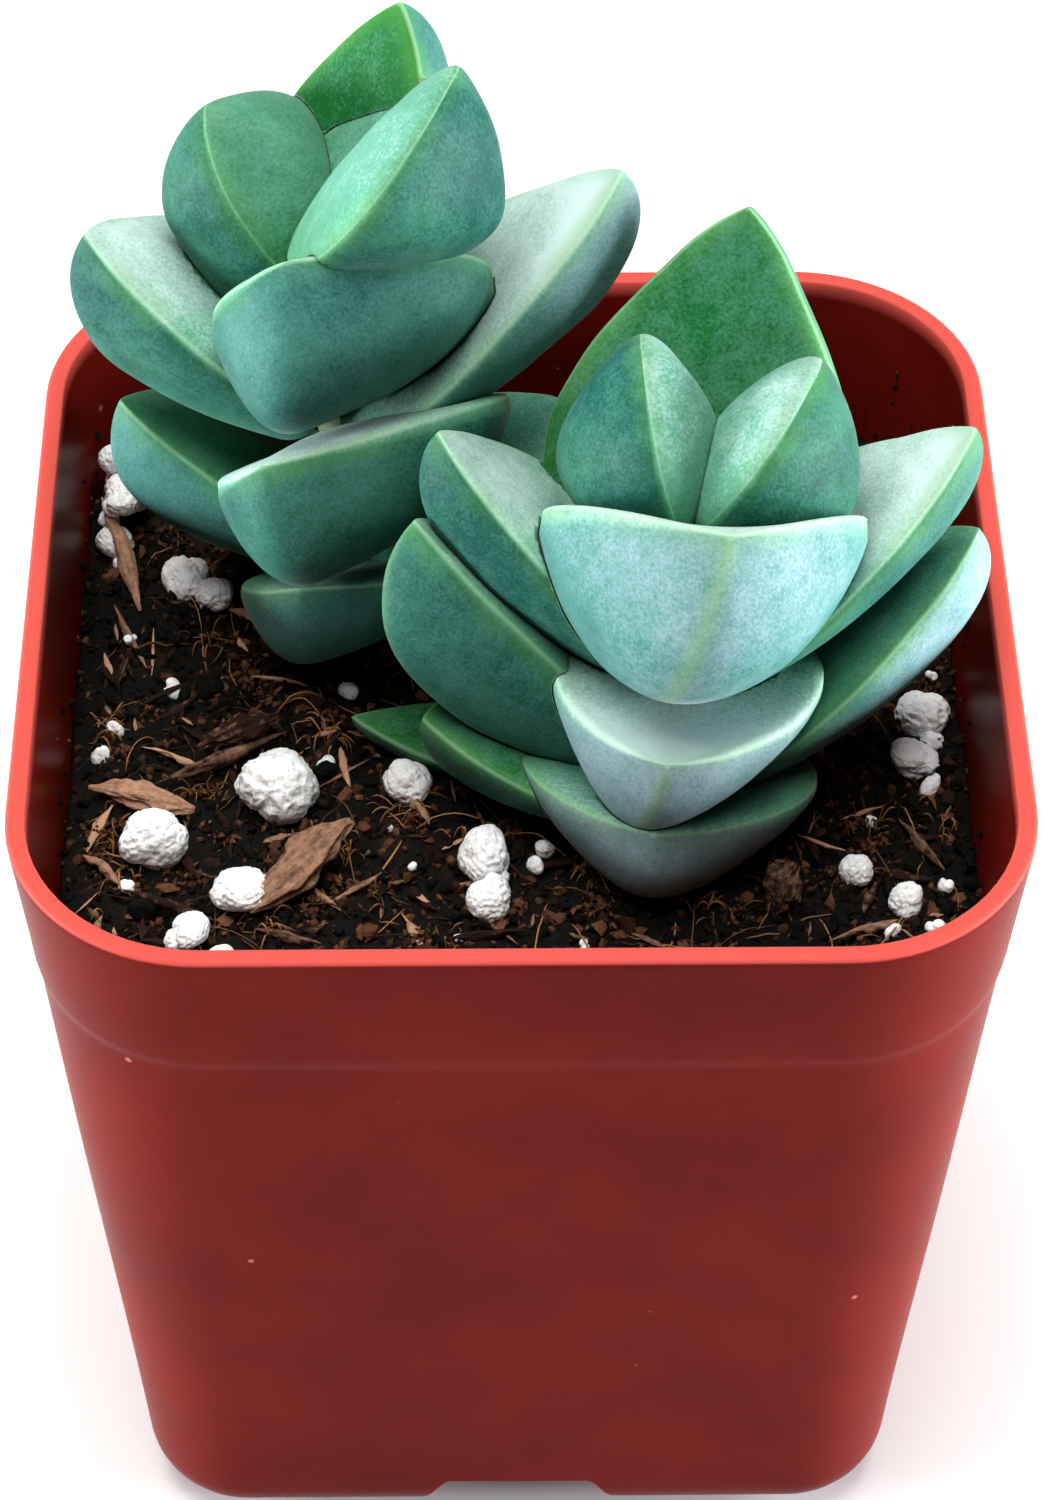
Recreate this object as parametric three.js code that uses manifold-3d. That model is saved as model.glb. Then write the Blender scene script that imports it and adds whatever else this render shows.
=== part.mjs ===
// Two moonglow crassula rosettes in a square nursery pot.
// Millimetres, +Z up. The origin is the middle of the pot's foot, and the front faces -Y.
import * as THREE from 'three';
import Module from 'manifold-3d';
import { mergeVertices } from 'three/addons/utils/BufferGeometryUtils.js';

const wasm = await Module();
wasm.setup();

// Driving dimensions of the pot
const RIM_WIDTH = 57;
const RIM_CORNER = 11;
const POT_HEIGHT = 61.2;
const BASE_WIDTH = 47.2;
const BASE_CORNER = 6.2;
const BASE_ROUNDING = 4.2;
const WALL = 0.95;
const RIM_ROUNDING = 0.25;
const LEDGE_DROP = 9.8;
const LEDGE_STEP = 0.15;
const FLOOR_THICKNESS = 1.2;
const FOOT_HEIGHT = 5;
const FOOT_WIDTH = 2.2;
const SHARPEST_CORNER = 0.6;
const NOTCH_WIDTH = 15;
const NOTCH_TOP = 8.6;
const DRAIN_RADIUS = 2.6;
const DRAIN_OFFSET = 12;
const CORNER_STEPS = 6;

// Driving dimensions of the soil
const SOIL_LEVEL = 50.4;
const SOIL_RELIEF = 0.8;
const SOIL_RINGS = 5;
const CLEARANCE = 0.3;

// Driving dimensions of the plants
const STEM_RADIUS = 2.3;
const STEM_DEPTH = 14;
const STEM_SIDES = 14;
const LEAF_ROWS = 8;
const LEAF_COLUMNS = 6;

// The form that most leaves share: a boat with a flat upper face and a keel below.
const LEAF_FORM = {
  seat: 1,
  widestAt: 0.25,
  baseWidth: 0.9,
  sideCurve: 1.6,
  sidePoint: 0.85,
  deepestAt: 0.55,
  baseDepth: 0.75,
  backCurve: 2.2,
  backPoint: 0.55,
  flank: 1.6,
  flankRound: 0.7,
  dome: 0.08,
  cup: 0,
  lopsided: 0,
  keelShift: 0,
  roll: 0,
};

// The young pair in a heart stands on narrow bases and is domed where the two press together.
const HEART = {
  seat: 0,
  widestAt: 0.5,
  baseWidth: 0.25,
  sideCurve: 2.1,
  sidePoint: 0.7,
  deepestAt: 0.45,
  backCurve: 1.8,
  backPoint: 0.8,
};
const ROUND_HEART = { ...HEART, sideCurve: 2.4, sidePoint: 0.62 };
const BLUNT = { sideCurve: 2.2, sidePoint: 0.7 };
const BROAD = { ...BLUNT, widestAt: 0.35, flank: 2, flankRound: 0.6 };

// A leaf sits at a height on its stem and points along its azimuth. Its tip lies at a reach from the
// stem and a rise above the soil level, in millimetres and degrees.
function leaf(name, height, azimuth, reach, rise, width, depth, form = {}) {
  return { ...LEAF_FORM, name, height, azimuth, reach, rise, width, depth, ...form };
}

// Crossing pairs of leaves, from the heart outwards and down. A leaf is trimmed by those listed before it.
const FRONT_PLANT = {
  name: 'front',
  foot: new THREE.Vector3(9, -4.5, 50.2),
  top: new THREE.Vector3(9.6, -3, 69.2),
  stemTop: 70.6,
  leaves: [
    leaf('heart_left', 20, 165, 3.2, 31.2, 12.4, 6.6, { ...ROUND_HEART, dome: 0.42, lopsided: 0.18 }),
    leaf('heart_right', 20.5, -12, 6.4, 31, 12.6, 7.2, { ...ROUND_HEART, dome: 0.36, lopsided: -0.12 }),
    leaf('upper_front', 16, -83, 11.2, 28.8, 18, 8.2, { ...BROAD, cup: 0.3, dome: 0.15, keelShift: 0.25, roll: -4 }),
    leaf('upper_back', 14, 73, 11, 33.4, 18.2, 6.5, { widestAt: 0.35, sideCurve: 1.35, lopsided: 0.07 }),
    leaf('middle_left', 12, 176, 13.9, 25.6, 15.4, 5.4, { roll: 6, lopsided: -0.1 }),
    leaf('middle_right', 12, 6, 15.9, 25.1, 15, 4.6),
    leaf('lower_front', 11, -96, 13.2, 13.8, 15.6, 7.6, { ...BLUNT, cup: 0.12, keelShift: 0.28, lopsided: 0.08 }),
    leaf('lower_back', 11, 85, 12, 15, 16, 6),
    leaf('low_left', 5, -179, 15, 20.6, 15.4, 7.8, { roll: 10, lopsided: -0.25 }),
    leaf('low_right', 5, 7, 17, 17.6, 15.4, 6),
    leaf('bottom_front', 3, -98, 11.9, 7.4, 17.6, 6.2, { ...BLUNT, cup: 0.1 }),
    leaf('bottom_back', 3, 82, 13, 9, 16, 5.5),
    leaf('ground_left', 2, -170, 14.8, 7.4, 15, 4.4),
    leaf('ground_tip', 1, 173, 19, 2.6, 9, 3),
  ],
};
const BACK_PLANT = {
  name: 'back',
  foot: new THREE.Vector3(-8.3, 10.5, 50.2),
  top: new THREE.Vector3(-12.4, 10, 79.2),
  stemTop: 77.4,
  leaves: [
    leaf('upper_front', 23, -98, 7.8, 33.6, 16, 7.4, {
      ...BROAD,
      widestAt: 0.4,
      roll: 3,
      lopsided: 0.34,
      keelShift: 0.4,
    }),
    leaf('heart_left', 27.5, 146, 6.3, 35.6, 13.4, 6.6, {
      ...HEART,
      widestAt: 0.42,
      baseWidth: 0.7,
      sidePoint: 0.85,
      baseDepth: 1,
      backCurve: 2.2,
      backPoint: 0.75,
      dome: 0.3,
      lopsided: -0.5,
      roll: 30,
    }),
    leaf('heart_right', 28.8, -14, 9.2, 42, 13.4, 7.8, {
      ...HEART,
      dome: 0.2,
      lopsided: -0.24,
      roll: -8,
      widestAt: 0.6,
      deepestAt: 0.6,
      baseDepth: 0.06,
      flank: 1.4,
      flankRound: 0.75,
    }),
    leaf('inner_back', 28, 34, 9.2, 36.2, 11, 3.5),
    leaf('upper_back', 24, 60, 10.2, 38.6, 15.4, 6, { roll: -10, lopsided: 0.14 }),
    leaf('middle_left', 19, 180, 13.4, 29.2, 16.8, 6.2, { dome: 0.22, roll: 10, lopsided: -0.28 }),
    leaf('middle_right', 18, -2, 16.6, 34, 15, 6),
    leaf('lower_front', 14, -110, 12.2, 21.8, 17.6, 7.4, { ...BROAD, roll: 20, lopsided: 0.38, keelShift: 0.3 }),
    leaf('lower_back', 14, 66, 12, 24, 16, 6),
    leaf('low_left', 8, 180, 13.8, 16.5, 15, 6, { roll: 15, lopsided: -0.25 }),
    leaf('low_right', 8, -2, 13, 16, 14, 6),
    leaf('bottom_front', 4, -110, 11, 11, 16, 5.2, { ...BLUNT, roll: 8, lopsided: 0.2, keelShift: 0.4 }),
    leaf('bottom_back', 4, 70, 10, 10, 15, 5),
  ],
};

// White grains of perlite that lie in the soil: x, y, width and height of the middle above the soil
const PERLITE = [
  [-24.3, 18.2, 2.6, 1.6],
  [-24.6, 14.8, 2.2, 0.7],
  [-24.3, 16.4, 2.5, 3.0],
  [-24.7, 19.8, 2.0, 2.7],
  [-20.3, 11.6, 2.8, 0.7],
  [-18.4, 9.6, 2.4, 0.7],
  [-14.2, -6.2, 4.3, 1.3],
  [-21.2, -11.0, 3.2, 1.2],
  [-16.0, -14.8, 2.6, 1.0],
  [-19.0, -17.6, 2.2, 0.8],
  [-6.6, -6.0, 2.4, 1.0],
  [-2.0, -12.0, 2.6, 1.0],
  [-1.8, -15.2, 2.4, 0.9],
  [24.3, -0.4, 3.0, 0.9],
  [23.4, -4.4, 2.6, 0.8],
  [19.4, -13.3, 1.9, 0.7],
  [22.2, -15.0, 1.9, 0.7],
];

// Chips of bark: two ends, width and thickness
const BARK = [
  [[-15.6, -16.2, 51.6], [-9.6, -10.8, 53.2], 2.6, 1.5],
  [[-25.2, -6.4, 51.4], [-18.8, -8.6, 52.0], 1.8, 1.0],
  [[-19.0, -3.4, 51.4], [-14.2, -1.6, 52.6], 1.5, 1.1],
  [[14.4, -16.0, 51.1], [15.6, -15.2, 54.2], 2.6, 0.9],
  [[25.8, 14.2, 50.4], [26.5, 14.4, 60.6], 2.2, 0.8],
  [[-25.6, 17.4, 52.4], [-22.9, 8.9, 50.8], 1.0, 0.8],
];

const COLOURS = {
  pot: 0x9c3a2c,
  soil: 0x2b221c,
  stem: 0x7d8a6a,
  leaf: 0x86ad99,
  perlite: 0xe8e6e6,
  bark: 0x8a6a4c,
};

function material(color, roughness) {
  return new THREE.MeshStandardMaterial({ color, roughness, metalness: 0 });
}

// Solid from a list of points and a list of index triples
function solidFrom(points, triangles) {
  const geometry = new THREE.BufferGeometry();
  geometry.setAttribute('position', new THREE.Float32BufferAttribute(points.flat(), 3));
  geometry.setIndex(triangles.flat());
  return solid(geometry);
}

// Closed three.js geometry as a solid that can be joined and cut
function solid(geometry) {
  const bare = geometry.clone();
  bare.deleteAttribute('normal');
  bare.deleteAttribute('uv');
  const merged = mergeVertices(bare, 1e-4);
  const mesh = new wasm.Mesh({
    numProp: 3,
    vertProperties: new Float32Array(merged.attributes.position.array),
    triVerts: new Uint32Array(merged.index.array),
  });
  return new wasm.Manifold(mesh);
}

// The largest piece that a cut leaves
function largestPiece(body) {
  return body.decompose().reduce((best, piece) => (piece.volume() > best.volume() ? piece : best));
}

function meshOf(name, body, color, roughness) {
  const { vertProperties, triVerts } = body.getMesh();
  const geometry = new THREE.BufferGeometry();
  geometry.setAttribute('position', new THREE.BufferAttribute(new Float32Array(vertProperties), 3));
  geometry.setIndex(new THREE.BufferAttribute(new Uint32Array(triVerts), 1));
  geometry.computeVertexNormals();
  const mesh = new THREE.Mesh(geometry, material(color, roughness));
  mesh.name = name;
  return mesh;
}

// Outline of a square with round corners, anticlockwise seen from above
function roundedSquare(half, radius) {
  const outline = [];
  for (let corner = 0; corner < 4; corner += 1) {
    const middle = (corner + 0.5) * (Math.PI / 2);
    const centre = [Math.sign(Math.cos(middle)) * (half - radius), Math.sign(Math.sin(middle)) * (half - radius)];
    for (let step = 0; step <= CORNER_STEPS; step += 1) {
      const angle = (corner + step / CORNER_STEPS) * (Math.PI / 2);
      outline.push([centre[0] + radius * Math.cos(angle), centre[1] + radius * Math.sin(angle)]);
    }
  }
  return outline;
}

// Closed body through rings of equally many points, with a fan over each end
function loft(rings) {
  const points = rings.flat();
  const count = rings[0].length;
  const triangles = [];
  for (let ring = 0; ring + 1 < rings.length; ring += 1) {
    for (let side = 0; side < count; side += 1) {
      const next = (side + 1) % count;
      const low = ring * count;
      const high = low + count;
      triangles.push([low + side, low + next, high + next], [low + side, high + next, high + side]);
    }
  }
  const middleOf = (ring) => [0, 1, 2].map((axis) => ring.reduce((sum, p) => sum + p[axis], 0) / count);
  const bottom = points.push(middleOf(rings[0])) - 1;
  const top = points.push(middleOf(rings[rings.length - 1])) - 1;
  const last = (rings.length - 1) * count;
  for (let side = 0; side < count; side += 1) {
    const next = (side + 1) % count;
    triangles.push([bottom, next, side], [top, last + side, last + next]);
  }
  return solidFrom(points, triangles);
}

// Half width and corner radius of the pot's outside at a height
function potHalf(z) {
  return THREE.MathUtils.lerp(BASE_WIDTH / 2, RIM_WIDTH / 2 - LEDGE_STEP, z / POT_HEIGHT);
}

function potCorner(z) {
  return THREE.MathUtils.lerp(BASE_CORNER, RIM_CORNER, z / POT_HEIGHT);
}

function potRing(z, inset) {
  const corner = Math.max(potCorner(z) - inset, SHARPEST_CORNER);
  return roundedSquare(potHalf(z) - inset, corner).map(([x, y]) => [x, y, z]);
}

function potBody() {
  const ledge = POT_HEIGHT - LEDGE_DROP;
  const foot = [0, 1, 2, 3].map((step) => {
    const turn = step * (Math.PI / 6);
    return potRing(BASE_ROUNDING * (1 - Math.cos(turn)), BASE_ROUNDING * (1 - Math.sin(turn)));
  });
  const outside = loft([
    ...foot,
    potRing(ledge, 0),
    potRing(ledge + LEDGE_STEP, -LEDGE_STEP),
    potRing(POT_HEIGHT - RIM_ROUNDING, -LEDGE_STEP),
    potRing(POT_HEIGHT, RIM_ROUNDING - LEDGE_STEP),
  ]);
  const floorTop = FOOT_HEIGHT + FLOOR_THICKNESS;
  const inside = loft([
    potRing(floorTop, WALL + BASE_ROUNDING * 0.5),
    potRing(floorTop + BASE_ROUNDING, WALL),
    potRing(POT_HEIGHT + 1, WALL),
  ]);
  const underside = loft([potRing(-1, BASE_ROUNDING + FOOT_WIDTH), potRing(FOOT_HEIGHT, FOOT_WIDTH)]);
  return outside.subtract(inside).subtract(underside).subtract(notches()).subtract(drainHoles());
}

// Gap in the middle of each side of the foot, for water to run out
function notches() {
  const outline = new THREE.Shape();
  const wide = NOTCH_WIDTH / 2;
  const narrow = NOTCH_TOP / 2;
  const bend = (wide + narrow) / 2;
  outline.moveTo(-wide, -1);
  outline.lineTo(wide, -1);
  outline.lineTo(wide, 0);
  outline.bezierCurveTo(bend, 0, bend, FOOT_HEIGHT, narrow, FOOT_HEIGHT);
  outline.lineTo(-narrow, FOOT_HEIGHT);
  outline.bezierCurveTo(-bend, FOOT_HEIGHT, -bend, 0, -wide, 0);
  outline.closePath();
  const cuts = [0, 1].map((turn) => {
    const settings = { depth: BASE_WIDTH + 4, bevelEnabled: false, curveSegments: 6 };
    const geometry = new THREE.ExtrudeGeometry(outline, settings);
    geometry.rotateX(Math.PI / 2);
    geometry.translate(0, BASE_WIDTH / 2 + 2, 0);
    geometry.rotateZ(turn * (Math.PI / 2));
    return solid(geometry);
  });
  return cuts[0].add(cuts[1]);
}

function drainHoles() {
  const holes = [[0, 0], [1, 1], [-1, 1], [-1, -1], [1, -1]].map(([x, y]) => {
    const geometry = new THREE.CylinderGeometry(DRAIN_RADIUS, DRAIN_RADIUS, 8, 16);
    geometry.rotateX(Math.PI / 2);
    geometry.translate(x * DRAIN_OFFSET, y * DRAIN_OFFSET, FOOT_HEIGHT);
    return solid(geometry);
  });
  return holes.reduce((all, hole) => all.add(hole));
}

// Height of the bumpy soil over a point
function soilHeight(x, y) {
  const waves = Math.sin(0.41 * x + 0.8) * Math.cos(0.37 * y - 0.5) + 0.6 * Math.sin(0.9 * x - 0.7 * y);
  return SOIL_LEVEL + SOIL_RELIEF * 0.5 * waves;
}

function soilBody() {
  const bottom = FOOT_HEIGHT + FLOOR_THICKNESS + CLEARANCE;
  const side = WALL + CLEARANCE;
  const rings = [
    potRing(bottom, side + BASE_ROUNDING * 0.5),
    potRing(bottom + BASE_ROUNDING, side),
  ];
  for (let ring = SOIL_RINGS; ring > 0; ring -= 1) {
    const reach = ring / SOIL_RINGS;
    rings.push(potRing(SOIL_LEVEL, side).map(([x, y]) => [x * reach, y * reach, soilHeight(x * reach, y * reach)]));
  }
  return loft(rings);
}

// Point on a stem's axis at a height above the soil
function stemPoint(plant, height) {
  const share = height / (plant.top.z - plant.foot.z);
  return new THREE.Vector3().lerpVectors(plant.foot, plant.top, share);
}

function stemBody(plant, grow = 0) {
  const axis = new THREE.Vector3().subVectors(plant.top, plant.foot).normalize();
  const low = stemPoint(plant, -STEM_DEPTH);
  const high = stemPoint(plant, plant.stemTop - plant.foot.z);
  const length = low.distanceTo(high) + 2 * grow;
  const geometry = new THREE.CylinderGeometry(STEM_RADIUS * 0.5 + grow, STEM_RADIUS + grow, length, STEM_SIDES);
  geometry.applyQuaternion(new THREE.Quaternion().setFromUnitVectors(new THREE.Vector3(0, 1, 0), axis));
  const middle = low.clone().lerp(high, 0.5);
  geometry.translate(middle.x, middle.y, middle.z);
  return solid(geometry);
}

// Share of a leaf's full width or depth at a share of its length
function outlineShare(along, peak, start, curve, point) {
  if (along < peak) {
    return start + (1 - start) * (1 - (1 - along / peak) ** 2);
  }
  const past = Math.min(1, (along - peak) / (1 - peak));
  return (1 - past ** curve) ** point;
}

// Base, tip and cross directions of a leaf on its plant
function leafFrame(plant, spec) {
  const up = new THREE.Vector3().subVectors(plant.top, plant.foot).normalize();
  const stem = stemPoint(plant, spec.height);
  const turn = THREE.MathUtils.degToRad(spec.azimuth);
  const tip = new THREE.Vector3(
    stem.x + spec.reach * Math.cos(turn),
    stem.y + spec.reach * Math.sin(turn),
    plant.foot.z + spec.rise,
  );
  const outwards = tip.clone().sub(stem);
  outwards.addScaledVector(up, -outwards.dot(up)).normalize();
  const base = stem.clone().addScaledVector(outwards, spec.seat);
  const along = tip.clone().sub(base).normalize();
  const faceUp = up.clone().addScaledVector(along, -up.dot(along)).normalize();
  const roll = THREE.MathUtils.degToRad(spec.roll);
  const across = new THREE.Vector3().crossVectors(along, faceUp);
  const normal = faceUp.clone().multiplyScalar(Math.cos(roll)).addScaledVector(across, Math.sin(roll));
  return { base, tip, along, normal, side: new THREE.Vector3().crossVectors(along, normal) };
}

// Point on the upper face (face = 1) or the keeled face (face = -1), at shares along and across
function leafPoint(spec, frame, along, across, face, grow) {
  const widthShare = outlineShare(along, spec.widestAt, spec.baseWidth, spec.sideCurve, spec.sidePoint);
  const depthShare = outlineShare(along, spec.deepestAt, spec.baseDepth, spec.backCurve, spec.backPoint);
  const half = (spec.width / 2) * widthShare * (1 - Math.sign(across) * spec.lopsided) + 1.3 * grow;
  let lift = spec.dome * half * (1 - across ** 2);
  if (face < 0) {
    const flankWidth = across < spec.keelShift ? 1 + spec.keelShift : 1 - spec.keelShift;
    const fromKeel = Math.min(1, Math.abs(across - spec.keelShift) / flankWidth);
    lift = -spec.depth * depthShare * (1 - fromKeel ** spec.flank) ** spec.flankRound;
  }
  lift += spec.cup * half * across ** 2 + face * grow * (1 - across ** 8);
  return frame.base.clone()
    .lerp(frame.tip, along)
    .addScaledVector(frame.side, across * half)
    .addScaledVector(frame.normal, lift);
}

// Shares across a leaf from one edge to the other, with one of them on the keel
function acrossSteps(keelShift) {
  const steps = [];
  for (let column = 0; column <= LEAF_COLUMNS; column += 1) {
    const share = Math.sin((column / LEAF_COLUMNS - 0.5) * Math.PI);
    const room = share < 0 ? 1 + keelShift : 1 - keelShift;
    steps.push(keelShift + share * room);
  }
  return steps;
}

// Leaf as a closed body, grown on every side by a clearance when it serves as a cutter
function leafBody(plant, spec, grow = 0) {
  const frame = leafFrame(plant, spec);
  if (grow > 0) {
    frame.base.addScaledVector(frame.along, -grow);
    frame.tip.addScaledVector(frame.along, 1.5 * grow);
  }
  const upperSteps = acrossSteps(0);
  const lowerSteps = acrossSteps(spec.keelShift).slice(1, -1).reverse();
  const points = [];
  for (let row = 0; row < LEAF_ROWS; row += 1) {
    const along = 1 - (1 - row / LEAF_ROWS) ** 1.4;
    upperSteps.forEach((across) => points.push(leafPoint(spec, frame, along, across, 1, grow).toArray()));
    lowerSteps.forEach((across) => points.push(leafPoint(spec, frame, along, across, -1, grow).toArray()));
  }
  const count = upperSteps.length + lowerSteps.length;
  const triangles = [];
  for (let row = 0; row + 1 < LEAF_ROWS; row += 1) {
    for (let column = 0; column < count; column += 1) {
      const next = (column + 1) % count;
      const near = row * count;
      const far = near + count;
      triangles.push([near + column, near + next, far + next], [near + column, far + next, far + column]);
    }
  }
  const tip = points.push(frame.tip.toArray()) - 1;
  const base = points.push(leafPoint(spec, frame, 0, 0, -1, 0).lerp(frame.base, 0.5).toArray()) - 1;
  const last = (LEAF_ROWS - 1) * count;
  for (let column = 0; column < count; column += 1) {
    const next = (column + 1) % count;
    triangles.push([base, next, column], [tip, last + column, last + next]);
  }
  return solidFrom(points, triangles);
}

// Uneven pebble: a faceted ball with smooth bumps
function grainBody(x, y, z, width, grow = 0) {
  const geometry = new THREE.IcosahedronGeometry(1, 1);
  const position = geometry.attributes.position;
  const point = new THREE.Vector3();
  for (let index = 0; index < position.count; index += 1) {
    point.fromBufferAttribute(position, index);
    const bump = 1 + 0.16 * Math.sin(3.1 * point.x + x) * Math.sin(2.7 * point.y + y) * Math.cos(2.3 * point.z);
    point.multiplyScalar((width / 2) * bump + grow);
    position.setXYZ(index, point.x + x, point.y + y, 0.85 * point.z + z);
  }
  return solid(geometry);
}

// Chip of bark: a flat splinter that narrows to both ends
function barkBody([from, to, width, thickness], grow = 0) {
  const start = new THREE.Vector3(...from);
  const end = new THREE.Vector3(...to);
  const along = end.clone().sub(start).normalize();
  start.addScaledVector(along, -grow);
  end.addScaledVector(along, grow);
  const side = new THREE.Vector3(-along.y, along.x, 0).normalize();
  const up = new THREE.Vector3().crossVectors(along, side);
  const rings = [0, 0.25, 0.6, 1].map((share, index) => {
    const half = (width / 2) * [0.45, 1, 0.8, 0.3][index] + grow;
    const thick = (thickness / 2) * [0.7, 1, 0.9, 0.6][index] + grow;
    const corners = [[-1, -0.5], [0, -1], [1, -0.4], [0.9, 0.5], [0, 1], [-0.9, 0.4]];
    return corners.map(([a, b]) => start.clone().lerp(end, share)
      .addScaledVector(side, a * half)
      .addScaledVector(up, b * thick)
      .toArray());
  });
  return loft(rings);
}

const potted = new THREE.Group();
potted.add(meshOf('pot', potBody(), COLOURS.pot, 0.4));

// Plants: each stem, then each leaf less the ones above it
const cutters = [];
[FRONT_PLANT, BACK_PLANT].forEach((plant) => {
  potted.add(meshOf(`stem_${plant.name}`, stemBody(plant), COLOURS.stem, 0.8));
  cutters.push(stemBody(plant, CLEARANCE));
});
[FRONT_PLANT, BACK_PLANT].forEach((plant) => {
  plant.leaves.forEach((spec) => {
    const body = cutters.reduce((rest, cutter) => rest.subtract(cutter), leafBody(plant, spec));
    potted.add(meshOf(`leaf_${plant.name}_${spec.name}`, largestPiece(body), COLOURS.leaf, 0.65));
    cutters.push(leafBody(plant, spec, CLEARANCE));
  });
});

// Grains and chips, clear of the leaves and of each other
PERLITE.forEach(([x, y, width, rise], index) => {
  const z = soilHeight(x, y) + rise;
  const body = cutters.reduce((rest, cutter) => rest.subtract(cutter), grainBody(x, y, z, width));
  potted.add(meshOf(`perlite_${index + 1}`, largestPiece(body), COLOURS.perlite, 0.9));
  cutters.push(grainBody(x, y, z, width, CLEARANCE));
});
BARK.forEach((chip, index) => {
  const body = cutters.reduce((rest, cutter) => rest.subtract(cutter), barkBody(chip));
  potted.add(meshOf(`bark_chip_${index + 1}`, largestPiece(body), COLOURS.bark, 0.9));
  cutters.push(barkBody(chip, CLEARANCE));
});

const soil = cutters.reduce((rest, cutter) => rest.subtract(cutter), soilBody());
potted.add(meshOf('soil', largestPiece(soil), COLOURS.soil, 1));

export default potted;
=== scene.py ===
"""Two moonglow crassula rosettes in a square nursery pot, with peat, perlite and bark."""
import math

import bmesh
import bpy
import numpy as np
from mathutils import Matrix, Vector, noise
from mathutils.bvhtree import BVHTree


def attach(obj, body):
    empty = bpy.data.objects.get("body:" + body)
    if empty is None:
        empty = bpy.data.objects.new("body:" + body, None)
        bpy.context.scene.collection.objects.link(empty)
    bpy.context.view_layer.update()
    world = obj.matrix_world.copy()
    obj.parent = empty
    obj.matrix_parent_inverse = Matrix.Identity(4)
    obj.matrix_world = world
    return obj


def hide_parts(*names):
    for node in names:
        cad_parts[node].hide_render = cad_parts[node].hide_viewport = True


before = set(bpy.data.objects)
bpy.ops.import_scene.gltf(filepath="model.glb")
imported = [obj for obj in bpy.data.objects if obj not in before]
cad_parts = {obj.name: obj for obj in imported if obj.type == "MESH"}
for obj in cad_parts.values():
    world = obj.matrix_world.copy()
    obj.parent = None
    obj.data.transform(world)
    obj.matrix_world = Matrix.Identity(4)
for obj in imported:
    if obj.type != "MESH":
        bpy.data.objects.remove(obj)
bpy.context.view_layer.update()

# All lengths below are millimetres, as in the drawings; meshes are made in metres.
MM = 0.001
chance = np.random.default_rng(11)

# Camera, floor and light


def look_from(place, right, up, back):
    """Matrix of something that stands at a place and looks away from its back direction."""
    turn = Matrix((right, up, back)).transposed().to_4x4()
    return Matrix.Translation(Vector(place) * MM) @ turn


lens = bpy.data.cameras.new("camera")
lens.sensor_fit = "AUTO"
lens.sensor_width = 36
lens.lens = 99.66
lens.shift_x = 0.003
lens.shift_y = 0.018
lens.clip_start = 0.01
lens.clip_end = 20
camera = bpy.data.objects.new("camera", lens)
bpy.context.collection.objects.link(camera)
camera.matrix_world = look_from(
    place=(-2.82, -172.37, 229.51),
    right=(0.99992, -0.01160, 0.00445),
    up=(0.00543, 0.73025, 0.68315),
    back=(-0.01118, -0.68308, 0.73026),
)
bpy.context.scene.camera = camera
bpy.context.scene.view_settings.view_transform = "Standard"


def colour(code):
    """sRGB hex as linear RGBA."""
    parts = [int(code[i:i + 2], 16) / 255 for i in (1, 3, 5)]
    linear = [p / 12.92 if p <= 0.04045 else ((p + 0.055) / 1.055) ** 2.4 for p in parts]
    return (*linear, 1.0)


def add(tree, kind, inputs=None, **settings):
    """Adds a shader node. An input is a value, a hex colour, or the node or socket that feeds it."""
    made = tree.nodes.new("ShaderNode" + kind)
    for name, value in settings.items():
        setattr(made, name, value)
    for name, value in (inputs or {}).items():
        if isinstance(value, bpy.types.Node):
            value = value.outputs[0]
        if isinstance(value, bpy.types.NodeSocket):
            tree.links.new(value, made.inputs[name])
        elif isinstance(value, str):
            made.inputs[name].default_value = colour(value)
        else:
            made.inputs[name].default_value = value
    return made


def finish(look):
    """Material named for its look, a function of a node tree and the place on the object."""
    material = bpy.data.materials.new(look.__name__)
    material.use_nodes = True
    tree = material.node_tree
    tree.nodes.clear()
    place = add(tree, "TexCoord").outputs["Object"]
    add(tree, "OutputMaterial", {"Surface": look(tree, place)})
    return material


def soft_box(name, place, target, width, height, power, tint="#ffffff"):
    """Studio soft box that faces a target."""
    data = bpy.data.lights.new(name, "AREA")
    data.shape = "RECTANGLE"
    data.size = width * MM
    data.size_y = height * MM
    data.energy = power
    data.color = colour(tint)[:3]
    box = bpy.data.objects.new(name, data)
    bpy.context.collection.objects.link(box)
    away = Vector(place) - Vector(target)
    box.location = Vector(place) * MM
    box.rotation_euler = away.to_track_quat("Z", "Y").to_euler()


soft_box("overhead_box", (-30, 10, 420), (0, 0, 60), 350, 300, 2.45, "#fffdf8")
soft_box("left_box", (-330, -50, 60), (0, 0, 20), 200, 130, 2.3, "#f8faff")
soft_box("right_box", (330, -50, 60), (0, 0, 20), 200, 130, 3.1, "#f8faff")

world = bpy.data.worlds.new("studio")
world.use_nodes = True
bpy.context.scene.world = world
backdrop = world.node_tree.nodes["Background"]
backdrop.inputs["Color"].default_value = colour("#eef2f6")
backdrop.inputs["Strength"].default_value = 0.04


# Materials


def painted_board(tree, place):
    """Matt white studio board: rolled paint, so it has no gloss and a very faint mottle."""
    mottle = add(tree, "TexNoise", {"Vector": place, "Scale": 1000 / 60})
    paint = add(tree, "Mix", {0: mottle, 6: "#eeeeee", 7: "#f2f2f2"}, data_type="RGBA")
    return add(tree, "BsdfPrincipled", {
        "Base Color": paint.outputs[2], "Roughness": 0.9, "Specular IOR Level": 0.2,
    })


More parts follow.
